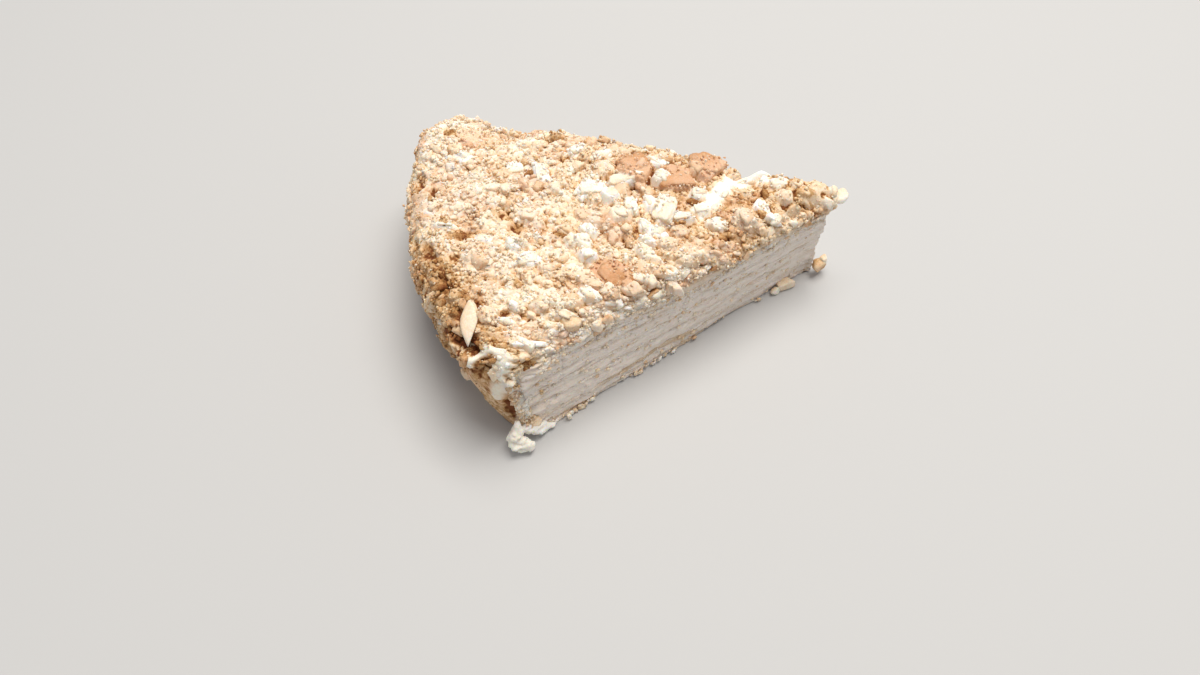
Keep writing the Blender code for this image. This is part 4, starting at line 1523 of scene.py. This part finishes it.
TOP_CHIPS = (
    (75.7, 17.8, 12.6, 9.6, 3, 26, 6, 0.4, 1, 0.7),
    (61.7, -15.3, 12, 11, 5, 20, 8, 0.36, 1, 0.45),
    (49.4, -11.4, 12.5, 9.5, 4, 75, 8, 0.35, 1, 0.5),
    (55.7, -17.6, 8.4, 2.8, 4.4, 35, 10, 0.06),
    (53.6, -20.6, 5, 4.6, 3.4, 10, 8, 0.34, 0.2),
    (53.8, -10.8, 4.8, 4.4, 2.4, 60, 8, 0.14, 0.1, 0.5),
    (41.1, -20.6, 11, 9.4, 4.6, 70, 8, 0.28, 1, 0.35),
    (43.6, -16.4, 5, 4.2, 3.4, 10, 8, 0.42, 0.6, 0.3),
    (53.8, 2, 11, 6.8, 3, -22, -24, 0.12, 0.1, 0.75),
    (57.6, -1.4, 5, 3.6, 2.8, 10, 10, 0, 0, 0.6),
    (68.7, -3.8, 4.4, 3.8, 3.2, 30, 8, 0.02, 0, 0.8),
    (63.4, -0.4, 6.2, 3.8, 3.2, -10, 8, 0.04, 0, 0.8),
    (67, 2.4, 5.4, 5, 4, 50, 8, 0.28, 0.1, 0.6),
    (73.8, 3.6, 4.6, 3.4, 2.6, 50, 20, 0.22, 0.5, 0.6),
    (74.2, -7.3, 8.6, 6.8, 4.4, 70, 8, 0.02, 0, 0.45),
    (72.2, -3.9, 5.2, 4.2, 3.2, 60, 8, 0.34, 0.1),
    (64, -10, 10.6, 4.8, 2.6, 80, 12, 0.04, 0, 0.6),
    (57.3, -6.2, 4.6, 3.8, 2.6, 30, 10, 0.4, 0.3),
    (72.3, -18.4, 5.4, 5, 2.8, 84, 10, 0.1, 0.15, 0.7),
    (76.2, -18.2, 4.6, 4.2, 3.2, 20, 8, 0.46, 0.2, 0.35),
    (80.3, -19.5, 4.6, 4.2, 3.2, 40, 8, 0.05),
    (69, -21, 5.2, 5, 2.2, 10, 8, 0.28, 0.4, 0.5),
    (65.8, -20.6, 4.2, 3.6, 3, 10, 8, 0.44, 0.1),
    (87.4, -22.4, 4.6, 3, 3.6, 70, 30, 0.62, 0.1, 0.5),
    (113.6, -20.4, 8.4, 7.2, 4.2, 60, 8, 0.34, 0.2, 0.1),
    (107.2, -18.3, 5, 4.4, 3.6, 20, 8, 0.52, 0.2, 0.35),
    (102.4, -18.3, 5.8, 4.8, 3.2, 70, 8, 0.3, 0.1, 0.45),
    (96.6, -20, 5.2, 4.8, 4.4, 10, 8, 0.12),
    (92.1, -19.8, 4.2, 4.2, 3.8, 0, 8, 0.36),
    (97.2, -13, 6.2, 4.4, 2.6, 80, 8, 0),
    (89, -12.6, 9.4, 3.8, 2.8, 2, 8, 0.01, 0, 0.5),
    (112.1, -14.4, 6.4, 5.2, 2.4, 70, 8, 0.04, 0, 0.35),
    (108, -10.8, 5.4, 4.2, 3, 70, 8, 0.24, 0.1),
    (103, -8.4, 5.6, 4.4, 3.4, 60, 8, 0.24),
    (98.6, -8, 4.6, 4, 3, 10, 8, 0.28, 0.1),
    (101.7, -5.3, 5.6, 4.4, 2.2, 60, 8, 0.08, 0.3, 0.45),
    (84.5, -8, 4.4, 4, 3.2, 0, 8, 0.3, 0.1),
    (116.3, -1, 5.4, 2.6, 2.4, 85, 8, 0.1, 0, 0.6),
    (82.7, 4.4, 6.4, 2.8, 2.8, 55, 10, 0.44, 0.2, 0.5),
    (84.2, 5.2, 4.4, 1.8, 1.8, 60, 10, 0.8, 0.1, 0.3),
    (76.5, 0.3, 4.8, 4.6, 1.8, 10, 8, 0.3, 0.55, 0.5),
    (82.3, 7, 4.4, 3.8, 3.2, 30, 8, 0.2, 0, 0.5),
    (79.2, 7.6, 4.6, 4, 3.2, 0, 8, 0.18, 0, 0.5),
    (76.6, 5.2, 5, 3.6, 3.4, 10, 8, 0, 0, 0.8),
    (79.6, 11.8, 3.6, 3.5, 3.4, 0, 8, 0, 0, 0.85),
    (95.2, 9.1, 6, 4.4, 2.2, 82, 8, 0, 0, 0.8),
    (91.2, 12, 5, 3.4, 2.6, 60, 8, 0.3, 0.2, 0.5),
    (98.4, 5, 4.6, 4.2, 3.2, 0, 8, 0.04, 0, 0.5),
    (96.2, 5.8, 3.4, 3.2, 2.8, 20, 8, 0.26, 0, 0.5),
    (108.5, 4.3, 4.4, 4.2, 3, 0, 8, 0.24, 0.45),
    (106.1, 3, 5, 3.2, 2.6, 70, 8, 0.02, 0, 0.5),
    (92.2, -1, 5.4, 4.2, 2.2, 60, 8, 0.24, 0.2),
    (83, 15.6, 6.8, 5, 2.2, 72, 8, 0.3, 0.1, 0.4),
    (82, 17.8, 6.4, 4.4, 2.2, 65, 8, 0.32, 0.3),
    (85.2, 20.2, 5.2, 5, 3.8, 10, 8, 0.03, 0.12, 0.7),
    (89.9, 20, 4.2, 4, 2.6, 0, 8, 0.4, 0.2, 0.45),
    (93.5, 21.6, 4.4, 3.4, 1.8, 60, 8, 0.28, 0.1, 0.5),
    (106.1, 23, 5, 3.6, 3, 60, 8, 0, 0, 0.5),
    (107.2, 18.3, 3.2, 2.2, 2, 80, 8, 0.05, 0.1, 0.7),
    (110.2, 16.2, 4.8, 3.4, 2.4, 0, 8, 0.34, 0.1, 0.5),
    (64.4, 15.6, 7.4, 3.6, 3.2, 22, 8, 0.24, 0, 0.6),
    (67.9, 18.5, 5.2, 4.2, 3.2, 10, 8, 0.32, 0.4, 0.4),
    (67.3, 22.8, 4.4, 4, 3.2, 0, 8, 0.26, 0.25, 0.5),
    (70.2, 21.2, 3, 3, 2.6, 0, 8, 0.2, 0.1, 0.6),
    (73.3, 22.8, 4.6, 4.4, 3, 0, 8, 0.3, 0.4, 0.3),
    (59.1, 17.3, 4.6, 3, 2.4, 60, 8, 0.46),
    (59, 10.4, 5, 4.2, 2.4, 60, 12, 0, 0, 0.8),
    (62, 11.8, 4, 3.2, 2.6, 60, 8, 0.04, 0, 0.7),
    (61, 6.8, 4.6, 3.6, 2.6, -10, 20, 0.1, 0, 0.6),
    (69.8, 9.6, 3, 3, 2.2, 0, 8, 0.12, 0.6, 0.3),
    (57.6, 14.6, 6.6, 5.4, 3, 70, 8, 0.28, 0.4, 0.5),
    (52, 11, 5, 4.4, 3, 40, 8, 0.28, 0.4),
    (50, 5.8, 6.4, 3, 2.2, 88, 8, 0.08, 0, 0.6),
    (43.7, 3.4, 5, 4.2, 2.6, 80, 8, 0.12, 0, 0.5),
    (42.6, -5.6, 5.2, 4.6, 3, 70, 8, 0.08, 0.1, 0.5),
    (41.5, 12.2, 5, 4.6, 3.4, 10, 8, 0.14, 0.1, 0.5),
    (32.4, 13.6, 6.2, 5.4, 3.8, 20, 8, 0.26, 0.4),
    (28.6, -20, 9, 4.2, 3, 86, 8, 0, 0, 0.6),
    (32.4, -22.4, 3.4, 3, 4.2, 0, 8, 0.36, 0.3, 0.6),
    (28.9, -7, 6.4, 3.2, 1.6, 74, 14, 0.4, 0, 0.6),
    (25.7, 7.6, 5.2, 3.2, 3.2, 10, 8, 0.03, 0, 0.5),
    (24, 20.4, 4.2, 3.6, 3.2, 50, 8, 0.04, 0, 0.6),
    (19.6, -13, 5.2, 3.4, 2.8, 85, 8, 0.18, 0, 0.5),
    (18.4, 2, 5, 4.4, 3.4, 20, 8, 0.34, 0.2, 0.4),
    (13.8, -12, 3.6, 3, 2.4, 30, 8, 0.38, 0.1, 0.3),
    (3, -9, 3.6, 2.6, 2.2, 40, 8, 0.3, 0, 0.7),
    (117.1, 11.7, 5, 4.4, 3, 60, 8, 0.56, 0.1, 0.3),
    (120.6, 15.6, 5, 4, 2.6, 20, 8, 0.5, 0.1, 0.2),
)
RIM_CHIPS = (
    (30.5, 9.2, 9, 2.4, 2.4, 80, 8, 0.42, 0.1, 0.5),
    (29, 7.4, 8, 2.4, 2.2, 86, 8, 0.5, 0.1),
    (20, 7, 6, 4.4, 2.6, 70, 8, 0.5, 0.1),
    (9, 11, 5.4, 4.4, 2.6, 80, 8, 0.5, 0.2),
    (14, 16.6, 6.4, 4.4, 3, 60, 8, 0.36, 0.2),
    (24, 1.6, 5.6, 4.4, 2.6, 60, 8, 0.4, 0.2),
    (22, -13, 6, 4.8, 2.8, 10, 8, 0.4, 0.2),
    (8, -5, 5, 4, 2.6, 40, 8, 0.4, 0.2),
)
CUT_CHIPS = (
    (67.3, 32.4, 4.6, 3.4, 2.2, 20, 8, 0.46, 0.4, -0.4),
    (83.1, 32.4, 3.6, 3, 2, 30, 8, 0.34, 0.3, -0.3),
    (86, 29.4, 4.4, 3, 1.6, 14, 8, 0.44, 0.5, -0.3),
    (47.2, 31.4, 3, 2.4, 2, 20, 8, 0.62, 0.8, 0.2),
    (14.7, 1.6, 8, 3.8, 3.6, 3, 4, 0.28, 0, 1.6),
    (18.4, 1.2, 3.4, 2.6, 2.2, 30, 4, 0.04, 0, 1.9),
    (1.2, 3.4, 5.4, 4.6, 4, 10, 4, 0.5, 0, 0.4),
    (-0.6, 5, 3.2, 2.6, 2.6, 10, 4, 0.26, 0, 0.2),
    (-0.2, 32.2, 5.6, 4.8, 4.6, 10, 4, 0.16, 0, -0.8),
    (97.9, 1.4, 1.6, 2.4, 1.6, 0, 4, 0.2, 0, 1.6),
)
CHIPS = chips(Face.TOP, TOP_CHIPS) + chips(Face.RIM, RIM_CHIPS) + chips(Face.CUT, CUT_CHIPS)
LEAF = Chip(Face.TOP, 116.4, 16.4, (15, 5.2, 2), -10, 8, 0.3, 0.15, 0.5)


@dataclass(frozen=True)
class Strand:
    """A drip of cream along a path, uneven and thinnest at its ends.

    Each stop on the path holds its two place numbers, how far its middle stands out, and half the
    strand's width there.
    """

    face: Face
    tone: float
    path: tuple[tuple[float, float, float, float], ...]


DRIP = Strand(
    Face.CUT,
    0.12,
    (
        (113.0, 9.2, -0.2, 0.8), (113.8, 7.0, 0.6, 1.8), (114.6, 4.9, 1.3, 2.4),
        (114.4, 3.2, 2.5, 2.7), (113.2, 2.4, 3.8, 2.1), (111.6, 2.0, 4.2, 1.2), (110.9, 2.6, 3.6, 0.5),
    ),
)
FOOT = Strand(
    Face.CUT,
    0.06,
    (
        (112.6, 5.0, 0.2, 0.9), (110.2, 4.2, 0.7, 1.9), (107.8, 3.0, 0.9, 1.9),
        (105.6, 1.9, 0.9, 1.4), (103.4, 1.2, 1.2, 0.9), (102.0, 0.9, 0.9, 0.3),
    ),
)


@dataclass
class NamedChips:
    """The large chips, the leaf and the drips that a viewer would know the slice by."""

    bed: CrumbBed
    broad: float = 6.5
    palest: float = 0.15
    sunk: float = 0.3
    sides: int = 24
    flatness: float = 0.9
    lumps: tuple[tuple[float, float], ...] = ((3.1, 0.5), (1.4, 0.4), (0.6, 0.15))
    draw: Chance = field(default_factory=lambda: np.random.default_rng(53))

    def build(self, crumbs: Material) -> None:
        """Lays every large chip, the leaf and the drips."""
        rows = self.rows(CHIPS)
        broad = rows[:, 6] >= self.broad
        for name, chosen, detail in (("crumb_slabs", broad, 4), ("crumb_chips", ~broad, 3)):
            batch = CrumbBatch(name, CrumbShapes(detail, Cut.SLAB, 18, 8, 0.07), rows[chosen])
            settle(batch.build(crumbs), "crumbs")
        shape = CrumbShapes(4, Cut.LEAF, 1, 21, 0.03)
        leaf = CrumbBatch("crumb_leaf", shape, self.rows((LEAF,), False), 0.0)
        settle(leaf.build(crumbs), "crumbs")
        settle(self.drips((DRIP, FOOT), crumbs), "crumbs")

    def drips(self, strands: tuple[Strand, ...], material: Material) -> Object:
        """Makes the lumps of cream at the foot of the cut as one mesh.

        Args:
            strands: the runs that they follow.
            material: the crumbs' material.

        Returns:
            The piece.
        """
        surface, tones = Surface(), []
        around = np.linspace(0, math.tau, self.sides, endpoint=False)[:, None]
        for strand in strands:
            stops = []
            for first, second, out, half in strand.path:
                spot = Chip(strand.face, first, second, (2 * half, 2 * half, 1.0), lift=out)
                stops.append(np.concatenate((*self.find(spot, False), [half])))
            run = curve(np.array(stops))
            middles, normals, halves = run[:, :3], run[:, 3:6], run[:, 6]
            way = np.gradient(middles, axis=0)
            side = unit(np.cross(way, normals))
            up = unit(np.cross(side, way))
            rings = []
            for middle, half, across, over in zip(middles, halves, side, up):
                round_off = np.cos(around) * across + self.flatness * np.sin(around) * over
                ring = middle + half * round_off
                rough = np.array([self.lumpy(point) for point in ring])[:, None]
                rings.append(surface.add(held(middle + (ring - middle) * (1 + rough))))
            for low, high in zip(rings, rings[1:]):
                surface.quads(low, high, np.roll(high, -1), np.roll(low, -1))
            surface.polygons += [rings[0], rings[-1][::-1]]
            tones.append(np.full(len(middles) * self.sides, strand.tone))
        tone = np.concatenate(tones)
        return surface.piece("crumb_drips", material, {"tone": tone, "blush": 0 * tone})

    def lumpy(self, point: Array) -> float:
        """Gives how far a drip swells at a point, as a share of its width."""
        return sum(share * noise.noise(Vector(point) / size) for size, share in self.lumps)

    def rows(self, chips: tuple[Chip, ...], pressed: bool = True) -> Array:
        """Gives a batch's rows for named chips, which may be pressed into the bed."""
        rows = []
        for chip in chips:
            middle, normal = self.find(chip, pressed)
            turn, tilt = math.radians(chip.turn), math.radians(chip.tilt)
            tone = max(chip.tone, self.palest)
            rows.append((*middle, *normal, *chip.size, turn, tilt, tone, chip.blush))
        return np.array(rows, float)

    def find(self, chip: Chip, pressed: bool) -> tuple[Array, Array]:
        """Finds a chip's place, and raises the bed under it where it is pressed.

        Args:
            chip: the chip.
            pressed: whether it is pressed into the bed.

        Returns:
            Its middle and the way out there.
        """
        coat, relief = self.bed.coat, self.bed.relief
        form = coat.form
        if chip.face is Face.CUT:
            normal = form.across(Side.FRONT)
            point = form.plan(np.array(chip.first), np.array(form.half_angle), np.array(chip.second))
            return form.lean(point) + normal * chip.lift, normal
        along, over = coat.find(chip.face, chip.first, chip.second)
        cells, _, _ = relief.window(along, over, 0.42 * chip.size[1])
        level = float(np.median(relief.height[cells]))
        thick = chip.size[2]
        height = np.array([level + (chip.lift - self.sunk) * thick])
        points, normals = self.bed.place(np.array([along]), np.array([over]), height)
        relief.taken[cells] = True
        if not pressed:
            relief.hollow[cells] = 1.0
            return points[0], normals[0]
        row, column = relief.cell(along, over)
        turned = math.radians(chip.second) if chip.face is Face.TOP else 0.0
        turn = math.radians(chip.turn) - turned
        look = Look(chip.tone - float(relief.base[row, column]), chip.blush, turn)
        top = level + (chip.lift + 0.27 - self.sunk) * thick - float(relief.height[row, column])
        halves = (0.5 * chip.size[0], 0.5 * chip.size[1])
        cells, covered = relief.stamp(along, over, halves, top, look, self.draw)
        relief.base[cells][covered] = chip.tone
        relief.lid[cells][covered] = 0.16 * thick
        relief.taken[cells] |= covered
        return points[0], normals[0]


@dataclass
class CutFace:
    """The torn and smeared surface that the knife left, which all the layers share."""

    form: SliceForm
    tip: float = 5.0
    pitch: float = 0.45
    tucked: float = 0.3
    broad: tuple[Pattern, ...] = (Pattern(0.4, 17, 9, 41), Pattern(0.3, 5, 3.0, 42))
    drag: tuple[Pattern, ...] = (Pattern(0.24, 9.0, 1.1, 43), Pattern(0.16, 1.8, 0.8, 44))
    pits: Pattern = Pattern(1.0, 1.3, 0.8, 45)
    grain: Pattern = Pattern(0.07, 0.6, 0.5, 46)

    def path(self, z: float) -> tuple[Array, Array, Array, Array]:
        """Runs round a layer: down the front cut, round the tip, up the back cut and along the rim.

        Args:
            z: height of the layer's middle.

        Returns:
            The points' distances from the tip, angles, ways out, and how far each is loose (1 on a
            cut, 0 inside the coat).
        """
        form, half = self.form, self.form.half_angle
        corners = (form.core_radius(np.array(s * half), np.array(z)) for s in (1, -1))
        ends = [float(corner) - self.tucked for corner in corners]
        front = np.linspace(ends[0], self.tip, int((ends[0] - self.tip) / self.pitch))
        back = np.linspace(self.tip, ends[1], int((ends[1] - self.tip) / self.pitch))
        radius = self.tip * math.tan(half)
        turn = np.linspace(-1, 1, 13)[1:-1] * (math.pi / 2 - half)
        nose = self.tip / math.cos(half) - radius * np.cos(turn), -radius * np.sin(turn)
        rim = np.linspace(-half, half, 17)[1:-1]
        inside = form.core_radius(rim, z) - self.tucked
        reach = np.concatenate((front, np.hypot(*nose), back, inside))
        on_cuts = np.full(len(front), half), np.full(len(back), -half)
        angle = np.concatenate((on_cuts[0], np.arctan2(nose[1], nose[0]), on_cuts[1], rim))
        nose_out = np.stack((np.cos(turn), np.sin(turn), np.zeros(len(turn))), axis=1)
        rim_out = np.stack((-np.cos(rim), -np.sin(rim), np.zeros(len(rim))), axis=1)
        front_out = np.tile(form.across(Side.FRONT), (len(front), 1))
        back_out = np.tile(form.across(Side.BACK), (len(back), 1))
        out = np.concatenate((front_out, nose_out, back_out, rim_out))
        loose = np.concatenate((np.ones(len(front) + len(turn) + len(back)), np.zeros(len(rim))))
        return reach, angle, out, loose

    def torn(self, reach: Array, angle: Array, z: Array) -> Array:
        """Gives how far the cut stands out at a place, in millimetres."""
        along = self.unrolled(reach, angle)
        dragged = mottled(along, z, *self.broad) + mottled(along, z, *self.drag)
        pits = np.maximum(0.0, mottled(along, z, self.pits) - 0.62) * -2.0
        ragged = 1.0 + 1.2 * smooth((reach - 96) / 10) + 0.6 * smooth((14 - reach) / 10)
        return ragged * dragged + pits + mottled(along, z, self.grain)

    def unrolled(self, reach: Array, angle: Array) -> Array:
        """Gives places along both cuts as one line, so that their patterns differ."""
        return np.where(angle > 0, reach, -reach - BACK_SHIFT)


@dataclass
class LayerStack:
    """The sheets and creams, each a piece that replaces its solid."""

    face: CutFace
    gap: float = 0.3
    row: float = 0.32
    tucked: float = 1.6
    edges: tuple[tuple[float, int], ...] = ((0.0, 51), (1.4, 52))
    soft: Pattern = Pattern(0.08, 5, 2, 61)
    crumby: tuple[Pattern, ...] = (Pattern(0.7, 22, 1.0, 62), Pattern(0.35, 4.5, 0.55, 66))
    buckled: Pattern = Pattern(0.12, 9, 3, 63)
    covered: tuple[Pattern, ...] = (Pattern(0.4, 18, 2.0, 64), Pattern(0.3, 5, 0.6, 65))
    stack: tuple[tuple[str, float], ...] = (
        ("sheet_1", 1.6),
        ("cream_1", 1.8),
        ("sheet_2", 2.0),
        ("cream_2", 3.8),
        ("sheet_3", 1.4),
        ("cream_3", 3.3),
        ("sheet_4", 1.3),
        ("cream_4", 3.2),
        ("sheet_5", 1.3),
        ("cream_5", 2.8),
        ("sheet_6", 1.4),
        ("cream_6", 1.8),
    )

    def build(self, custard: Material, sheet: Material) -> None:
        """Builds every layer from the lowest up."""
        z = 0.0
        for number, (node, thickness) in enumerate(self.stack):
            is_cream = node.startswith("cream")
            material = custard if is_cream else sheet
            piece = self.layer(node, z, z + thickness, number, is_cream, material)
            settle(piece, "cream" if is_cream else "pastry", node)
            z += thickness + self.gap

    def layer(
        self, node: str, low: float, high: float, number: int, is_cream: bool, material: Material
    ) -> Object:
        """Builds one layer.

        Args:
            node: the solid's name.
            low: height of its underside.
            high: height of its upper side.
            number: its place in the stack, which picks its chance.
            is_cream: whether it is cream, which swells over its neighbours' edges.
            material: its material.

        Returns:
            The piece.
        """
        form = self.face.form
        reach, angle, out, loose = self.face.path((low + high) / 2)
        along = self.face.unrolled(reach, angle)
        spill = 0.7 if is_cream else 0.1
        over, under = (
            0.2 + spill * (1 + waves(along / 6, np.array(number * 3.1 + shift), seed)) / 2
            for shift, seed in self.edges
        )
        top = high + over * loose
        bottom = np.maximum(low - under * loose, 0.0)
        count = max(5, int(round((high - low + 0.8) / self.row)))
        surface = Surface()
        rows, smears = [], []

        def ring(z: Array, offset: Array, smear: Array) -> None:
            """Adds one ring of the layer's wall."""
            points = form.lean(form.plan(reach, angle, z) + out * offset[:, None])
            points[:, 2] = np.maximum(points[:, 2], 0.0)
            rows.append(surface.add(points))
            smears.append(smear)

        still = np.zeros(len(reach))
        ring(np.full(len(reach), low), still - self.tucked, still)
        for k in range(count):
            share = k / (count - 1)
            z = bottom + (top - bottom) * share
            torn = self.face.torn(reach, angle, z) * loose
            curl = abs(2 * share - 1) ** 5
            if is_cream:
                swell, smear = self.cream_edge(reach, along, z, curl)
            else:
                swell, smear = self.sheet_edge(reach, along, angle, z, curl, number)
            ring(z, (torn + swell) * loose - 0.15 * (1 - loose), smear * loose)
        ring(np.full(len(reach), high), still - self.tucked, still)
        for lower, upper in zip(rows, rows[1:]):
            surface.quads(lower, np.roll(lower, -1), np.roll(upper, -1), upper)
        surface.polygons += [rows[0][::-1], rows[-1]]
        name = ("custard_" if is_cream else "pastry_") + node
        return surface.piece(name, material, {"smear": np.concatenate(smears)})

    def cream_edge(self, reach: Array, along: Array, z: Array, curl: float) -> tuple[Array, Array]:
        """Shapes a cream's cut edge, with crumbs dragged over it by the knife.

        Args:
            reach: distances from the tip.
            along: places along both cuts.
            z: heights.
            curl: how near the row is to the layer's upper or lower side.

        Returns:
            How far it swells out, and how much crumb is smeared over it.
        """
        swell = 0.16 - 0.5 * curl + mottled(along, z, self.soft)
        crumby = mottled(along, z, *self.crumby) + 0.5 * smooth((z - 24) / 5) - 0.35
        dragged = smooth((z - self.face.form.cream_line(reach) + 2.5) / 3.5)
        return swell, smooth(crumby * 1.6) * 0.5 + 0.5 * dragged

    def sheet_edge(
        self, reach: Array, along: Array, angle: Array, z: Array, curl: float, number: int
    ) -> tuple[Array, Array]:
        """Shapes a sheet's flaky cut edge, with cream smeared over it by the knife.

        Args:
            reach: distances from the tip.
            along: places along both cuts.
            angle: angles.
            z: heights.
            curl: how near the row is to the layer's upper or lower side.
            number: its place in the stack.

        Returns:
            How far it stands out, and how much cream is smeared over it.
        """
        flaky = waves(along / 2.0, z / 0.45, 60 + number)
        swell = 0.3 * flaky + mottled(along, z, self.buckled) - 0.28 * curl
        ochre = 0.8 * smooth((reach - 50) / 5) * smooth((88 - reach) / 8) * (number == 2)
        shown = 0.18 + ochre * (angle > 0) + 0.12 * (number == 0)
        return swell, smooth(1.0 - shown + mottled(along, z, *self.covered))


@dataclass
class CutCrumbs:
    """Small crumbs that the knife dragged over the cut faces."""

    face: CutFace
    counts: tuple[tuple[Side, int], ...] = ((Side.FRONT, 1054), (Side.BACK, 646))
    # painted shade on the lower half of each crumb on the cuts
    foot: float = 0.15
    seed: int = 37

    def build(self, material: Material) -> None:
        """Lays the crumbs on both cuts and makes them one piece."""
        draw = np.random.default_rng(self.seed)
        rows = np.concatenate([self.rows(side, count, draw) for side, count in self.counts])
        shapes = CrumbShapes(1, Cut.CHIP, 14, 7, 0.12)
        settle(CrumbBatch("crumbs_on_cut", shapes, rows, self.foot).build(material), "crumbs")

    def rows(self, side: Side, many: int, draw: Chance) -> Array:
        """Lays one cut's crumbs, thickest under the coat and along the sheets.

        Args:
            side: the cut.
            many: how many crumbs at most.
            draw: the source of chance.

        Returns:
            Their rows.
        """
        form = self.face.form
        reach = draw.uniform(4, 106, 6 * many)
        z = 33.0 * draw.uniform(0.02, 1, 6 * many)
        line = form.cream_line(reach)
        near_coat = np.exp(-np.maximum(0.0, line - z) / 2.2)
        along_sheet = 0.12 * (waves(reach / 7, z / 1.6, 91) > 0.2)
        low = 1.2 * np.exp(-((z / 1.5) ** 2)) * (waves(reach / 5, z / 9, 92) > -0.3)
        likely = near_coat + along_sheet + low + 0.03
        wanted = (draw.uniform(size=len(z)) < likely) & (z < line + 0.5)
        chosen = np.nonzero(wanted)[0][:many]
        reach, z = reach[chosen], z[chosen]
        angle = np.full(len(reach), side.value * form.half_angle)
        size = 0.55 + (1.3 + 0.8 * (z < 1.5)) * draw.uniform(size=len(reach)) ** 2.5
        out = np.tile(form.across(side), (len(reach), 1))
        ahead = self.face.torn(reach, angle, z) + (0.12 + 0.25 * (z < 1.5)) * size
        points = form.lean(form.plan(reach, angle, z)) + out * ahead[:, None]
        turn, tilt = draw.uniform(0, math.tau, len(reach)), draw.uniform(-0.5, 0.5, len(reach))
        tone, blush = 0.26 + 0.12 * draw.normal(size=len(reach)), draw.uniform(0, 0.5, len(reach))
        look = np.stack((size, size, size, turn, tilt, tone, blush), axis=1)
        return np.concatenate((points, out, look), axis=1)


@dataclass(frozen=True)
class Studio:
    """A pale floor, soft light from behind and above, and the camera where the photo was taken."""

    tip: tuple[float, float] = (63.2, 0.8)
    eye_from_tip: tuple[float, float, float] = (-102.4, -181.3, 230.3)
    gaze: tuple[float, float, float] = (0.0993, 0.578, -0.810)
    roll: float = math.radians(1.4)
    focal_pixels: float = 930.0
    sensor: float = 36.0
    nearest: float = 0.01
    floor_colour: str = "#C6C6C6"
    floor_roughness: float = 0.9
    floor_half: float = 3.0
    floor_gap: float = 0.0002
    key_place: tuple[float, float, float] = (0.2, 0.2, 1.18)
    key_size: float = 0.8
    key_power: float = 16.5
    key_colour: str = "#FFFAF2"
    lit_point: tuple[float, float, float] = (0.0, 0.0, 0.02)
    surround_colour: str = "#F0F1F4"
    surround_strength: float = 0.42

    def build(self) -> None:
        """Sets up floor, lights, world and camera."""
        self.floor()
        self.lights()
        self.camera()

    def floor(self) -> None:
        """Lays a plain matte floor under the slice."""
        made = bpy.data.materials.new("matte_painted_board")
        made.use_nodes = True
        shader = made.node_tree.nodes["Principled BSDF"]
        shader.inputs["Base Color"].default_value = srgb(self.floor_colour)
        shader.inputs["Roughness"].default_value = self.floor_roughness
        mesh = bpy.data.meshes.new("floor")
        far = self.floor_half
        corners = [(-far, -far, 0), (far, -far, 0), (far, far, 0), (-far, far, 0)]
        mesh.from_pydata(corners, [], [(0, 1, 2, 3)])
        mesh.materials.append(made)
        floor = link("floor", mesh)
        floor.location = (0, 0, -self.floor_gap)

    def lights(self) -> None:
        """Hangs one broad soft light behind and above, over an even pale surround."""
        light = bpy.data.lights.new("key", "AREA")
        light.size = self.key_size
        light.energy = self.key_power
        light.color = srgb(self.key_colour)[:3]
        lamp = link("key", light)
        lamp.location = self.key_place
        away = Vector(self.key_place) - Vector(self.lit_point)
        lamp.rotation_euler = away.to_track_quat("Z", "Y").to_euler()
        world = bpy.data.worlds.new("surround")
        bpy.context.scene.world = world
        world.use_nodes = True
        back = world.node_tree.nodes["Background"]
        back.inputs["Color"].default_value = srgb(self.surround_colour)
        back.inputs["Strength"].default_value = self.surround_strength
        bpy.context.scene.view_settings.view_transform = "Standard"

    def camera(self) -> None:
        """Stands the camera where the photograph was taken from."""
        forward = Vector(self.gaze).normalized()
        right = Vector((forward.y, -forward.x, 0)).normalized()
        upward = right.cross(forward)
        cos, sin = math.cos(self.roll), math.sin(self.roll)
        rolled, raised = right * cos + upward * sin, upward * cos - right * sin
        lens = bpy.data.cameras.new("camera")
        lens.sensor_width = self.sensor
        lens.lens = self.focal_pixels * self.sensor / PHOTO_WIDTH
        lens.clip_start = self.nearest
        camera = link("camera", lens)
        eye = Vector((*self.tip, 0)) + Vector(self.eye_from_tip)
        turn = Matrix((rolled, raised, -forward)).transposed().to_4x4()
        camera.matrix_world = Matrix.Translation(eye * MM) @ turn
        bpy.context.scene.camera = camera


def main() -> None:
    """Builds the slice piece by piece, then the studio."""
    logging.basicConfig(level=logging.INFO, format="%(name)s %(message)s")
    Studio().build()
    coat = CoatMap()
    face = CutFace(coat.form)
    crumbs, custard, sheet = (kind.material() for kind in (CRUMBS, CUSTARD, SHEET))
    bed = CrumbBed(coat)
    bed.press_crumbs()
    NamedChips(bed).build(crumbs)
    settle(bed.build(crumbs), "crumbs", "crumb_coat")
    Scatter(bed).build(crumbs)
    LayerStack(face).build(custard, sheet)
    CutCrumbs(face).build(crumbs)


if __name__ == "__main__":
    main()
